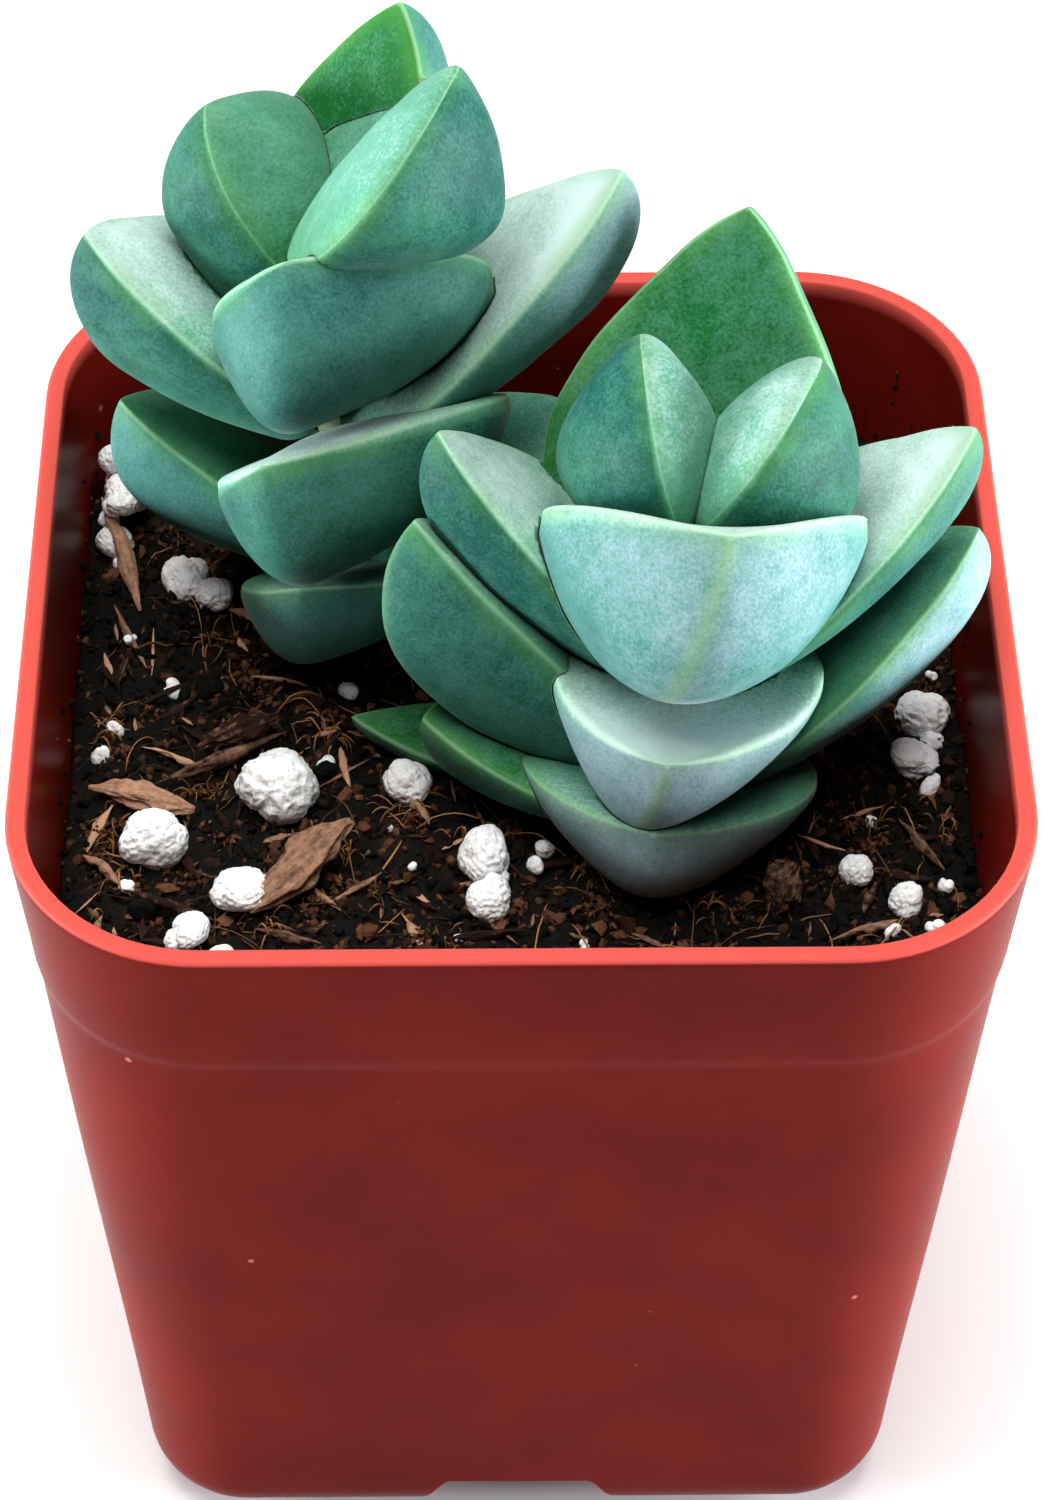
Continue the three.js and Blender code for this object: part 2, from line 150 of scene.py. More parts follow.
def moulded_polypropylene(tree, place):
    """Thin injection-moulded polypropylene: low gloss, faint flow clouds, fine upright drag lines
    from the mould, and a thin lip painted lighter and pinker, a painted glow for the light that falls on it
    and shines through it."""
    lip = add(tree, "Attribute", attribute_name="lip").outputs["Fac"]
    # Flow clouds are about 12 mm across, and drag lines from the mould about 0.8 mm apart.
    clouds = add(tree, "TexNoise", {"Vector": place, "Scale": 1000 / 12, "Detail": 4.0, "Roughness": 0.6})
    drawn = add(tree, "Mapping", {"Vector": place, "Scale": (1.0, 1.0, 0.03)})
    lines = add(tree, "TexNoise", {"Vector": drawn, "Scale": 1000 / 0.8, "Detail": 2.0})
    flow = add(tree, "MapRange", {"Value": clouds, "From Min": 0.3, "From Max": 0.7})
    body = add(tree, "Mix", {0: flow, 6: "#560b05", 7: "#69140c"}, data_type="RGBA").outputs[2]
    # The lip is painted lighter and pinker: a painted glow for the light on and through the thin lip.
    coral = add(tree, "Mix", {0: lip, 6: body, 7: "#c95149"}, data_type="RGBA")
    # Dust specks and pin marks, a fraction of a millimetre wide and some 7 mm apart
    specks = add(tree, "TexVoronoi", {"Vector": place, "Scale": 1000 / 7})
    speck = add(tree, "MapRange", {
        "Value": specks, "From Min": 0.035, "From Max": 0.02, "To Min": 0.0, "To Max": 0.5,
    })
    dusted = add(tree, "Mix", {0: speck, 6: coral.outputs[2], 7: "#d98a7a"}, data_type="RGBA")
    rough = add(tree, "MapRange", {
        "Value": clouds, "From Min": 0.3, "From Max": 0.7, "To Min": 0.30, "To Max": 0.40,
    })
    # Fine orange peel at 0.3 mm under the drag lines
    peel = add(tree, "TexNoise", {"Vector": place, "Scale": 1000 / 0.3})
    relief = add(tree, "Math", {0: peel, 1: lines}, operation="ADD")
    bump = add(tree, "Bump", {"Height": relief, "Strength": 0.3, "Distance": 0.01 * MM})
    return add(tree, "BsdfPrincipled", {
        "Base Color": dusted.outputs[2], "Roughness": rough, "IOR": 1.49,
        "Specular IOR Level": 0.03,
        "Subsurface Weight": 0.15, "Subsurface Radius": (1.0, 0.2, 0.14),
        "Subsurface Scale": 1.6 * MM, "Normal": bump,
    })


def crassula_skin(tree, place):
    """Skin of a crassula leaf: green flesh under a bloom of fine wax grains, rubbed thin in patches,
    velvety at a low angle, with a painted highlight along the rim, a yellow-green band where the flesh is
    thin, and a back painted darker, partly as shade."""
    edge = add(tree, "Attribute", attribute_name="edge").outputs["Fac"]
    keel = add(tree, "Attribute", attribute_name="keel").outputs["Fac"]
    bloom = add(tree, "Attribute", attribute_name="bloom").outputs["Fac"]
    inner = add(tree, "Attribute", attribute_name="inner").outputs["Fac"]
    # Wax grains are about 0.2 mm wide, and rubbed patches 1 and 6 mm across.
    grain = add(tree, "TexNoise", {"Vector": place, "Scale": 1000 / 0.2, "Detail": 2.0, "Roughness": 0.6})
    mottle = add(tree, "TexNoise", {
        "Vector": place, "Scale": 1000 / 1.1, "Detail": 3.0, "Roughness": 0.6,
    })
    patches = add(tree, "TexNoise", {"Vector": place, "Scale": 1000 / 6, "Detail": 2.0})
    # The flesh of the back runs from sea green to leaf green in patches.
    drift = add(tree, "MapRange", {"Value": patches, "From Min": 0.4, "From Max": 0.65})
    back = add(tree, "Mix", {0: drift, 6: "#0f4a3f", 7: "#115632"}, data_type="RGBA").outputs[2]
    # Flesh, veil and frost are darker on the back than on the face: partly their own colour, partly painted
    # shade, since the back faces down, away from the top light.
    flesh = add(tree, "Mix", {0: inner, 6: back, 7: "#166229"}, data_type="RGBA").outputs[2]
    veil = add(tree, "Mix", {0: inner, 6: "#4a827b", 7: "#5f9b87"}, data_type="RGBA").outputs[2]
    frost = add(tree, "Mix", {0: inner, 6: "#9cb3bd", 7: "#c6dddd"}, data_type="RGBA").outputs[2]
    broad = add(tree, "Math", {0: patches, 1: 0.5, 2: bloom}, operation="MULTIPLY_ADD")
    finer = add(tree, "Math", {0: mottle, 1: 0.35, 2: broad}, operation="MULTIPLY_ADD")
    grainy = add(tree, "Math", {0: grain, 1: 0.55, 2: finer}, operation="MULTIPLY_ADD")
    wax = add(tree, "MapRange", {
        "Value": grainy, "From Min": 0.63, "From Max": 1.64, "To Min": 0.0, "To Max": 2.0,
    })
    # A thin coat still lets the green through; a thick one is pale and grey.
    thick = add(tree, "Math", {0: wax, 1: 1.0}, operation="SUBTRACT")
    veiled = add(tree, "Mix", {0: wax, 6: flesh, 7: veil}, data_type="RGBA").outputs[2]
    waxed = add(tree, "Mix", {0: thick, 6: veiled, 7: frost}, data_type="RGBA").outputs[2]
    # The band beside a margin comes and goes along the leaf.
    thin = add(tree, "MapRange", {
        "Value": edge, "From Min": 1.8, "From Max": 0.3, "To Min": 0.0, "To Max": 0.9,
    })
    patchy = add(tree, "MapRange", {
        "Value": patches, "From Min": 0.35, "From Max": 0.65, "To Min": 0.1, "To Max": 0.5,
    })
    band = add(tree, "Math", {0: thin, 1: patchy}, operation="MULTIPLY")
    banded = add(tree, "Mix", {0: band, 6: waxed, 7: "#5f9e46"}, data_type="RGBA").outputs[2]
    folded = add(tree, "Mix", {0: keel, 6: banded, 7: "#8fbd6e"}, data_type="RGBA").outputs[2]
    # Painted highlight: a thin pale strip along the margins, where the rim catches the light.
    painted_margin_highlight = add(tree, "MapRange", {
        "Value": edge, "From Min": 0.3, "From Max": 0.08, "To Min": 0.0, "To Max": 0.35,
    })
    edged = add(tree, "Mix", {0: painted_margin_highlight, 6: folded, 7: "#a9d6ac"}, data_type="RGBA").outputs[2]
    relief = add(tree, "Math", {0: grain, 1: 0.7, 2: mottle}, operation="MULTIPLY_ADD")
    bump = add(tree, "Bump", {"Height": relief, "Strength": 0.6, "Distance": 0.07 * MM})
    return add(tree, "BsdfPrincipled", {
        "Base Color": edged, "Roughness": 0.55, "IOR": 1.42, "Specular IOR Level": 0.12,
        "Subsurface Weight": 0.1, "Subsurface Radius": (0.4, 1.0, 0.3), "Subsurface Scale": 0.8 * MM,
        "Sheen Weight": 0.16, "Sheen Roughness": 0.3, "Sheen Tint": "#dcefec",
        "Normal": bump,
    })


def corky_stem(tree, place):
    """Young succulent stem: green-grey skin that turns corky in fine cracks."""
    cracks = add(tree, "TexNoise", {
        "Vector": place, "Scale": 1000 / 0.8, "Detail": 5.0, "Roughness": 0.7,
    })
    skin = add(tree, "Mix", {0: cracks, 6: "#4d6b46", 7: "#9aa48a"}, data_type="RGBA")
    bump = add(tree, "Bump", {"Height": cracks, "Strength": 0.6, "Distance": 0.15 * MM})
    return add(tree, "BsdfPrincipled", {"Base Color": skin.outputs[2], "Roughness": 0.8, "Normal": bump})


def damp_peat(tree, place):
    """Damp sphagnum peat: near-black crumbs with redder, drier ones, slightly wet in the hollows."""
    tone = add(tree, "Attribute", attribute_name="tone").outputs["Fac"]
    crumb = add(tree, "TexNoise", {"Vector": place, "Scale": 1000 / 0.5, "Detail": 6.0, "Roughness": 0.7})
    spread = add(tree, "Math", {0: crumb, 1: 0.6, 2: tone}, operation="MULTIPLY_ADD")
    dry = add(tree, "MapRange", {"Value": spread, "From Min": 0.35, "From Max": 1.25})
    peat = add(tree, "Mix", {0: dry, 6: "#050403", 7: "#6e4630"}, data_type="RGBA")
    wet = add(tree, "MapRange", {
        "Value": crumb, "From Min": 0.35, "From Max": 0.6, "To Min": 0.45, "To Max": 0.95,
    })
    bump = add(tree, "Bump", {"Height": crumb, "Strength": 0.9, "Distance": 0.25 * MM})
    return add(tree, "BsdfPrincipled", {
        "Base Color": peat.outputs[2], "Roughness": wet, "Specular IOR Level": 0.15, "Normal": bump,
    })


def plant_fibre(tree, place):
    """Dry coir and root fibre: pale straw to dark brown, streaked along its length."""
    tone = add(tree, "Attribute", attribute_name="tone").outputs["Fac"]
    streak = add(tree, "TexNoise", {
        "Vector": place, "Scale": 1000 / 0.35, "Detail": 4.0, "Roughness": 0.7,
    })
    spread = add(tree, "Math", {0: streak, 1: 0.5, 2: tone}, operation="MULTIPLY_ADD")
    pale = add(tree, "MapRange", {"Value": spread, "From Min": 0.2, "From Max": 1.25})
    fibre = add(tree, "Mix", {0: pale, 6: "#2e1509", 7: "#c08a55"}, data_type="RGBA")
    bump = add(tree, "Bump", {"Height": streak, "Strength": 0.7, "Distance": 0.08 * MM})
    return add(tree, "BsdfPrincipled", {
        "Base Color": fibre.outputs[2], "Roughness": 0.75, "Specular IOR Level": 0.2, "Normal": bump,
    })


def shredded_bark(tree, place):
    """Shredded pine bark: brown and grey layers that split along the grain, dusty and dry."""
    grain = add(tree, "Attribute", attribute_name="grain").outputs["Vector"]
    tone = add(tree, "Attribute", attribute_name="tone").outputs["Fac"]
    # Grain bands are 0.35 mm wide and run several millimetres; blotches of dust are 0.6 mm across.
    bands = add(tree, "TexNoise", {
        "Vector": grain, "Scale": 1 / 0.35, "Detail": 5.0, "Roughness": 0.7, "Distortion": 0.6,
    })
    blotches = add(tree, "TexNoise", {
        "Vector": place, "Scale": 1000 / 0.6, "Detail": 4.0, "Roughness": 0.7,
    })
    streaky = add(tree, "Math", {0: bands, 1: 0.8, 2: tone}, operation="MULTIPLY_ADD")
    spread = add(tree, "Math", {0: blotches, 1: 1.0, 2: streaky}, operation="MULTIPLY_ADD")
    light = add(tree, "MapRange", {"Value": spread, "From Min": 0.9, "From Max": 1.6})
    bark = add(tree, "Mix", {0: light, 6: "#24100b", 7: "#c49478"}, data_type="RGBA")
    height = add(tree, "Math", {0: bands, 1: blotches}, operation="ADD")
    bump = add(tree, "Bump", {"Height": height, "Strength": 0.9, "Distance": 0.2 * MM})
    return add(tree, "BsdfPrincipled", {
        "Base Color": bark.outputs[2], "Roughness": 0.85, "Specular IOR Level": 0.2, "Normal": bump,
    })


def expanded_perlite(tree, place):
    """Expanded perlite: chalk-white glass froth, its fine pores painted grey as shade in the hollows."""
    pores = add(tree, "TexVoronoi", {"Vector": place, "Scale": 1000 / 0.3})
    froth = add(tree, "TexNoise", {
        "Vector": place, "Scale": 1000 / 0.7, "Detail": 5.0, "Roughness": 0.65,
    })
    # The pores are painted grey as painted shade; the froth noise adds an uneven tone.
    pitted = add(tree, "Math", {0: pores, 1: 0.5, 2: froth}, operation="MULTIPLY_ADD")
    shade = add(tree, "MapRange", {"Value": pitted, "From Min": 0.35, "From Max": 0.7})
    chalk = add(tree, "Mix", {0: shade, 6: "#c3c6ce", 7: "#fcfcff"}, data_type="RGBA")
    bump = add(tree, "Bump", {"Height": pitted, "Strength": 0.8, "Distance": 0.18 * MM})
    return add(tree, "BsdfPrincipled", {
        "Base Color": chalk.outputs[2], "Roughness": 0.85, "Normal": bump,
        "Subsurface Weight": 0.2, "Subsurface Radius": (1.0, 1.0, 1.0), "Subsurface Scale": 0.4 * MM,
    })


# Mesh making


def new_mesh(name, points, faces, values=None, smooth=True):
    """Mesh from points in millimetres, with named values for each point."""
    mesh = bpy.data.meshes.new(name)
    mesh.from_pydata((np.asarray(points) * MM).tolist(), [], faces)
    mesh.polygons.foreach_set("use_smooth", [smooth] * len(mesh.polygons))
    for key, data in (values or {}).items():
        flat = np.asarray(data, dtype=float)
        kind, field = ("FLOAT", "value") if flat.ndim == 1 else ("FLOAT_VECTOR", "vector")
        mesh.attributes.new(key, kind, "POINT").data.foreach_set(field, flat.ravel())
    mesh.update()
    return mesh


def place_piece(name, mesh, material, slot, *nodes):
    """Object for a mesh, riding on the pot's one body and standing for its solids."""
    piece = bpy.data.objects.new(name, mesh)
    bpy.context.collection.objects.link(piece)
    mesh.materials.clear()
    mesh.materials.append(material)
    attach(piece, "root")
    if nodes:
        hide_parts(*nodes)
    return piece


def ring_faces(rows, count, capped=True):
    """Faces between rings of equally many points; the caps are fans to two extra points."""
    faces = []
    for row in range(rows - 1):
        for side in range(count):
            after = (side + 1) % count
            low, high = row * count, (row + 1) * count
            faces.append((low + side, low + after, high + after, high + side))
    if capped:
        first, last = rows * count, rows * count + 1
        for side in range(count):
            after = (side + 1) % count
            faces.append((first, after, side))
            faces.append((last, (rows - 1) * count + side, (rows - 1) * count + after))
    return faces


def cut_with(piece, cutters):
    """Cuts other meshes out of a piece and keeps its largest part."""
    for cutter in cutters:
        step = piece.modifiers.new("cut", "BOOLEAN")
        step.operation = "DIFFERENCE"
        step.solver = "MANIFOLD"
        step.object = cutter
    bpy.context.view_layer.update()
    solved = piece.evaluated_get(bpy.context.evaluated_depsgraph_get())
    mesh = bpy.data.meshes.new_from_object(solved)
    piece.modifiers.clear()
    old, piece.data = piece.data, mesh
    bpy.data.meshes.remove(old)
    keep_largest(mesh)
    mesh.set_sharp_from_angle(angle=math.radians(48))


def keep_largest(mesh):
    """Drops all but the largest connected part of a mesh."""
    count = len(mesh.vertices)
    edges = np.empty(len(mesh.edges) * 2, dtype=int)
    mesh.edges.foreach_get("vertices", edges)
    edges = edges.reshape(-1, 2)
    label = np.arange(count)
    while True:
        low = np.minimum(label[edges[:, 0]], label[edges[:, 1]])
        fresh = label.copy()
        np.minimum.at(fresh, edges[:, 0], low)
        np.minimum.at(fresh, edges[:, 1], low)
        fresh = fresh[fresh]
        if (fresh == label).all():
            break
        label = fresh
    names, sizes = np.unique(label, return_counts=True)
    if len(names) < 2:
        return
    main = names[sizes.argmax()]
    shape = bmesh.new()
    shape.from_mesh(mesh)
    shape.verts.ensure_lookup_table()
    bmesh.ops.delete(shape, geom=[shape.verts[i] for i in np.flatnonzero(label != main)], context="VERTS")
    shape.to_mesh(mesh)
    shape.free()


def hidden_cutter(name, mesh):
    cutter = bpy.data.objects.new(name, mesh)
    bpy.context.collection.objects.link(cutter)
    return cutter


# Pot

RIM_WIDTH = 57
RIM_CORNER = 11
POT_HEIGHT = 61.2
BASE_WIDTH = 47.2
BASE_CORNER = 6.2
BASE_ROUNDING = 4.2
WALL = 0.95
RIM_ROUNDING = 0.3
LEDGE_DROP = 9.8
LEDGE_STEP = 0.15
FLOOR_TOP = 6.2
FOOT_HEIGHT = 5
FOOT_WIDTH = 2.2
SHARPEST_CORNER = 0.6
NOTCH_WIDTH = 15
NOTCH_TOP = 8.6
DRAIN_RADIUS = 2.6
DRAIN_OFFSET = 12


def pot_half(z):
    return BASE_WIDTH / 2 + (RIM_WIDTH / 2 - LEDGE_STEP - BASE_WIDTH / 2) * z / POT_HEIGHT


def pot_corner(z):
    return BASE_CORNER + (RIM_CORNER - BASE_CORNER) * z / POT_HEIGHT


def pot_ring(z, inset, steps=16, straights=12):
    """Square with round corners at a height, as points anticlockwise from above."""
    half, radius = pot_half(z) - inset, max(pot_corner(z) - inset, SHARPEST_CORNER)
    ring = []
    for corner in range(4):
        middle = (corner + 0.5) * math.pi / 2
        cx = math.copysign(half - radius, math.cos(middle))
        cy = math.copysign(half - radius, math.sin(middle))
        for step in range(steps + 1):
            angle = (corner + step / steps) * math.pi / 2
            ring.append((cx + radius * math.cos(angle), cy + radius * math.sin(angle), z))
        turn = (corner + 1) * math.pi / 2
        end = ring[-1]
        run = 2 * (half - radius)
        for step in range(1, straights):
            reach = run * step / straights
            ring.append((end[0] - math.sin(turn) * reach, end[1] + math.cos(turn) * reach, z))
    return np.array(ring)


def pot_profile():
    """Heights and insets of the wall, from the foot up over the rim and down the inside."""
    ledge = POT_HEIGHT - LEDGE_DROP
    profile = []
    # Foot edge, rounded, then the wall up to the ledge
    for step in range(10):
        turn = math.radians(10 * step)
        profile.append((BASE_ROUNDING * (1 - math.cos(turn)), BASE_ROUNDING * (1 - math.sin(turn))))
    profile += [(z, 0.0) for z in np.linspace(6, ledge - 1, 14)]
    profile += [(ledge - 0.5, 0.0), (ledge - 0.1, -0.2 * LEDGE_STEP), (ledge + 0.25, -0.75 * LEDGE_STEP)]
    profile += [(ledge + 0.7, -LEDGE_STEP), (ledge + 3, -LEDGE_STEP), (POT_HEIGHT - 3, -LEDGE_STEP)]
    profile += [(POT_HEIGHT - 1, -LEDGE_STEP)]
    # Rim: flat on top, with a round outer edge and a tighter inner one
    for step in range(0, 6):
        turn = math.radians(18 * step)
        rise, drawn_in = RIM_ROUNDING * (1 - math.sin(turn)), RIM_ROUNDING * (1 - math.cos(turn))
        profile.append((POT_HEIGHT - rise, drawn_in - LEDGE_STEP))
    for step in range(0, 6):
        turn = math.radians(18 * step)
        profile.append((POT_HEIGHT - 0.15 * (1 - math.cos(turn)), WALL - 0.15 + 0.15 * math.sin(turn)))
    profile += [(z, WALL) for z in np.linspace(POT_HEIGHT - 1.2, FLOOR_TOP + BASE_ROUNDING, 10)]
    for step in range(1, 5):
        turn = math.radians(22.5 * step)
        profile.append((
            FLOOR_TOP + BASE_ROUNDING * (1 - math.sin(turn)),
            WALL + 0.5 * BASE_ROUNDING * (1 - math.cos(turn)),
        ))
    return profile


def cutter_between(name, low, high, middles):
    """Hidden solid between two outlines, each closed at its middle."""
    return hidden_cutter(name, new_mesh(name, np.concatenate([low, high, middles]), ring_faces(2, len(low))))


def notch_cutter(turn):
    """Gap through two facing sides of the foot; its S-curved sides run up to a flat top."""
    half_side = []
    for step in range(13):
        share = step / 12
        smooth = share * share * (3 - 2 * share)
        across = NOTCH_WIDTH / 2 + (NOTCH_TOP - NOTCH_WIDTH) / 2 * share
        half_side.append((across, FOOT_HEIGHT * smooth))
    outline = [(-NOTCH_WIDTH / 2, -1.0), *((-x, z) for x, z in half_side)]
    outline += [*reversed(half_side), (NOTCH_WIDTH / 2, -1.0)]
    ends = []
    for y in (-BASE_WIDTH, BASE_WIDTH):
        ends.append([(x, y, z) if turn == 0 else (-y, x, z) for x, z in outline])
    ends = np.array(ends)
    return cutter_between("notch", *ends, ends.mean(axis=1))


def drain_cutter(x, y):
    """Round hole through the floor."""
    angles = np.linspace(0, 2 * math.pi, 33)[:-1]
    ring = np.stack([DRAIN_RADIUS * np.cos(angles), DRAIN_RADIUS * np.sin(angles)], axis=1)
    ring += np.array([x, y])
    low, high = (np.column_stack([ring, np.full(len(ring), z)]) for z in (-2.0, 9.0))
    return cutter_between("drain", low, high, [[x, y, -2], [x, y, 9]])


def make_pot(plastic):
    rings = [pot_ring(z, inset) for z, inset in pot_profile()]
    count = len(rings[0])
    points = np.concatenate([*rings, [[0, 0, 0]], [[0, 0, FLOOR_TOP]]])
    # Thin walls are never quite flat: a tenth of a millimetre of waviness over some 40 mm
    cross_wave = np.cos(points[:, 1] / 8 - points[:, 2] / 13)
    wave = 0.5 + 0.5 * np.sin(points[:, 0] / 7 + points[:, 2] / 11) * cross_wave
    fade = np.clip(points[:, 2] * (POT_HEIGHT - points[:, 2]) / 400, 0, 1)
    reach = np.maximum(np.hypot(points[:, 0], points[:, 1]), 1)
    points[:, :2] *= 1 - (0.12 * wave * fade / reach)[:, None]
    # The lip mask marks where the material paints the rim's glow of light.
    lip = np.clip((points[:, 2] - (POT_HEIGHT - RIM_ROUNDING)) / (0.5 * RIM_ROUNDING), 0, 1)
    mesh = new_mesh("pot_shell", points, ring_faces(len(rings), count), {"lip": lip})
    pot = place_piece("pot_shell", mesh, plastic, "pot", "pot")

    low, high = pot_ring(-1, BASE_ROUNDING + FOOT_WIDTH), pot_ring(FOOT_HEIGHT, FOOT_WIDTH)
    cutters = [cutter_between("recess", low, high, [[0, 0, -1], [0, 0, FOOT_HEIGHT]])]
    cutters += [notch_cutter(turn) for turn in (0, 1)]
    for x, y in ((0, 0), (1, 1), (-1, 1), (-1, -1), (1, -1)):
        cutters.append(drain_cutter(x * DRAIN_OFFSET, y * DRAIN_OFFSET))
    cut_with(pot, cutters)
    for cutter in cutters:
        bpy.data.objects.remove(cutter)


# Plants

LEAF_ROWS = 60
UPPER_POINTS = 40
LOWER_POINTS = 52
STEM_RADIUS = 2.3
STEM_DEPTH = 14
TIGHT = 0.1

LEAF_FORM = {
    "seat": 1, "widest_at": 0.25, "base_width": 0.9, "side_curve": 1.6, "side_point": 0.85,
    "deepest_at": 0.55, "base_depth": 0.75, "back_curve": 2.2, "back_point": 0.55,
    "flank": 1.6, "flank_round": 0.7, "dome": 0.08, "cup": 0, "lopsided": 0, "keel_shift": 0,
    "roll": 0, "soft": 0.8, "bloom": 0.2, "frost": 0.5, "fold": 0, "plain": 0,
}
# The young pair in a heart stands on narrow bases and is domed where the two press together.
HEART = {
    **LEAF_FORM, "seat": 0, "widest_at": 0.5, "base_width": 0.25, "side_curve": 2.1, "side_point": 0.7,
    "deepest_at": 0.45, "back_curve": 1.8, "back_point": 0.8, "soft": 1.1, "plain": 0.15,
}
ROUND_HEART = {**HEART, "side_curve": 2.4, "side_point": 0.62}
BLUNT = {**LEAF_FORM, "side_curve": 2.2, "side_point": 0.7}
BROAD = {**BLUNT, "widest_at": 0.35, "flank": 2, "flank_round": 0.6}


def leaf(name, height, azimuth, reach, rise, width, depth, kind=LEAF_FORM, **form):
    """A leaf at a height on its stem that points along its azimuth, with its tip at a reach and a rise."""
    return {
        **kind, "name": name, "height": height, "azimuth": azimuth, "reach": reach,
        "rise": rise, "width": width, "depth": depth, **form,
    }


# A leaf's bloom and frost set how pale the wax on its back and face is painted; they were matched to how lit
# each leaf looks, so they are partly painted light and shade.
FRONT_PLANT = {
    "name": "front", "foot": (9, -4.5, 50.2), "top": (9.6, -3, 69.2), "stem_top": 70.6,
    "leaves": [
        leaf("heart_left", 20, 165, 3.2, 31.2, 12.4, 6.6, ROUND_HEART, dome=0.42, lopsided=0.18,
             bloom=0.05, frost=0.5),
        leaf("heart_right", 20.5, -12, 6.4, 31, 12.6, 7.2, ROUND_HEART, dome=0.36, lopsided=-0.12,
             bloom=0.02, frost=0.55),
        leaf("upper_front", 16, -83, 11.2, 28.8, 18, 8.2, BROAD, cup=0.3, dome=0.15, keel_shift=0.25,
             roll=-4, bloom=0.55, frost=0.75, fold=0.3),
        leaf("upper_back", 14, 73, 11, 33.4, 18.2, 6.5, widest_at=0.35, side_curve=1.35, lopsided=0.07,
             frost=0.05),
        leaf("middle_left", 12, 176, 13.9, 25.6, 15.4, 5.4, roll=6, lopsided=-0.1,
             bloom=0.05, frost=0.75),
        leaf("middle_right", 12, 6, 15.9, 25.1, 15, 4.6, bloom=0.15, frost=0.85),
        leaf("lower_front", 11, -96, 13.2, 13.8, 15.6, 7.6, BLUNT, cup=0.12, keel_shift=0.28,
             lopsided=0.08, bloom=0.75, frost=1, fold=0.35),
        leaf("lower_back", 11, 85, 12, 15, 16, 6),
        leaf("low_left", 5, -179, 15, 20.6, 15.4, 7.8, roll=10, lopsided=-0.25, bloom=0.12,
             frost=0.5, fold=0.15),
        leaf("low_right", 5, 7, 17, 17.6, 15.4, 6, bloom=0.65, frost=0.4),
        leaf("bottom_front", 3, -98, 11.9, 7.4, 17.6, 6.2, BLUNT, cup=0.1, bloom=0.7),
        leaf("bottom_back", 3, 82, 13, 9, 16, 5.5),
        leaf("ground_left", 2, -170, 14.8, 7.4, 15, 4.4, bloom=0.05, frost=0.05),
        leaf("ground_tip", 1, 173, 19, 2.6, 9, 3, bloom=0.05, frost=0.05),
    ],
}
BACK_PLANT = {
    "name": "back", "foot": (-8.3, 10.5, 50.2), "top": (-12.4, 10, 79.2), "stem_top": 77.4,
    "leaves": [
        leaf("upper_front", 23, -98, 7.8, 33.6, 16, 7.4, BROAD, widest_at=0.4, roll=3, lopsided=0.34,
             keel_shift=0.4, bloom=0.2),
        leaf("heart_left", 27.5, 146, 6.3, 35.6, 13.4, 6.6, HEART, widest_at=0.42, base_width=0.7,
             side_point=0.85, base_depth=1, back_curve=2.2, back_point=0.75, dome=0.3, lopsided=-0.5,
             roll=30, bloom=0.05, frost=0.3),
        leaf("heart_right", 28.8, -14, 9.2, 42, 13.4, 7.8, HEART, dome=0.2, lopsided=-0.24, roll=-8,
             widest_at=0.6, deepest_at=0.6, base_depth=0.06, flank=1.4, flank_round=0.75, bloom=0.06,
             frost=0.4),
        leaf("inner_back", 28, 34, 9.2, 36.2, 11, 3.5, frost=0.35),
        leaf("upper_back", 24, 60, 10.2, 38.6, 15.4, 6, roll=-10, lopsided=0.14, frost=-0.1),
        leaf("middle_left", 19, 180, 13.4, 29.2, 16.8, 6.2, dome=0.22, roll=10, lopsided=-0.28,
             bloom=0.08, frost=0.75),
        leaf("middle_right", 18, -2, 16.6, 34, 15, 6, bloom=0.6, frost=0.95),
        leaf("lower_front", 14, -110, 12.2, 21.8, 17.6, 7.4, BROAD, roll=20, lopsided=0.38,
             keel_shift=0.3, bloom=0.12, frost=0.7),
        leaf("lower_back", 14, 66, 12, 24, 16, 6),
        leaf("low_left", 8, 180, 13.8, 16.5, 15, 6, roll=15, lopsided=-0.25, bloom=0.3, frost=0.3),
        leaf("low_right", 8, -2, 13, 16, 14, 6),
        leaf("bottom_front", 4, -110, 11, 11, 16, 5.2, BLUNT, roll=8, lopsided=0.2, keel_shift=0.4,
             bloom=0.35),
        leaf("bottom_back", 4, 70, 10, 10, 15, 5),
    ],
}


def stem_point(plant, height):
    foot, top = Vector(plant["foot"]), Vector(plant["top"])
    return foot.lerp(top, height / (top.z - foot.z))


def outline_share(along, peak, start, curve, point):
    """Share of a leaf's full width or depth at shares of its length."""
    rising = start + (1 - start) * (1 - (1 - np.minimum(along / peak, 1)) ** 2)
    past = np.clip((along - peak) / (1 - peak), 0, 1)
    return np.where(along < peak, rising, (1 - past ** curve) ** point)


def leaf_frame(plant, spec):
    """Base, tip, normal and side directions of a leaf."""
    up = (Vector(plant["top"]) - Vector(plant["foot"])).normalized()
    stem = stem_point(plant, spec["height"])
    turn = math.radians(spec["azimuth"])
    tip = Vector((
        stem.x + spec["reach"] * math.cos(turn),
        stem.y + spec["reach"] * math.sin(turn),
        plant["foot"][2] + spec["rise"],
    ))
    outwards = tip - stem
    outwards = (outwards - up * outwards.dot(up)).normalized()
    base = stem + outwards * spec["seat"]
    along = (tip - base).normalized()
    face_up = (up - along * up.dot(along)).normalized()
    roll = math.radians(spec["roll"])
    normal = face_up * math.cos(roll) + along.cross(face_up) * math.sin(roll)
    return base, tip, normal, along.cross(normal)


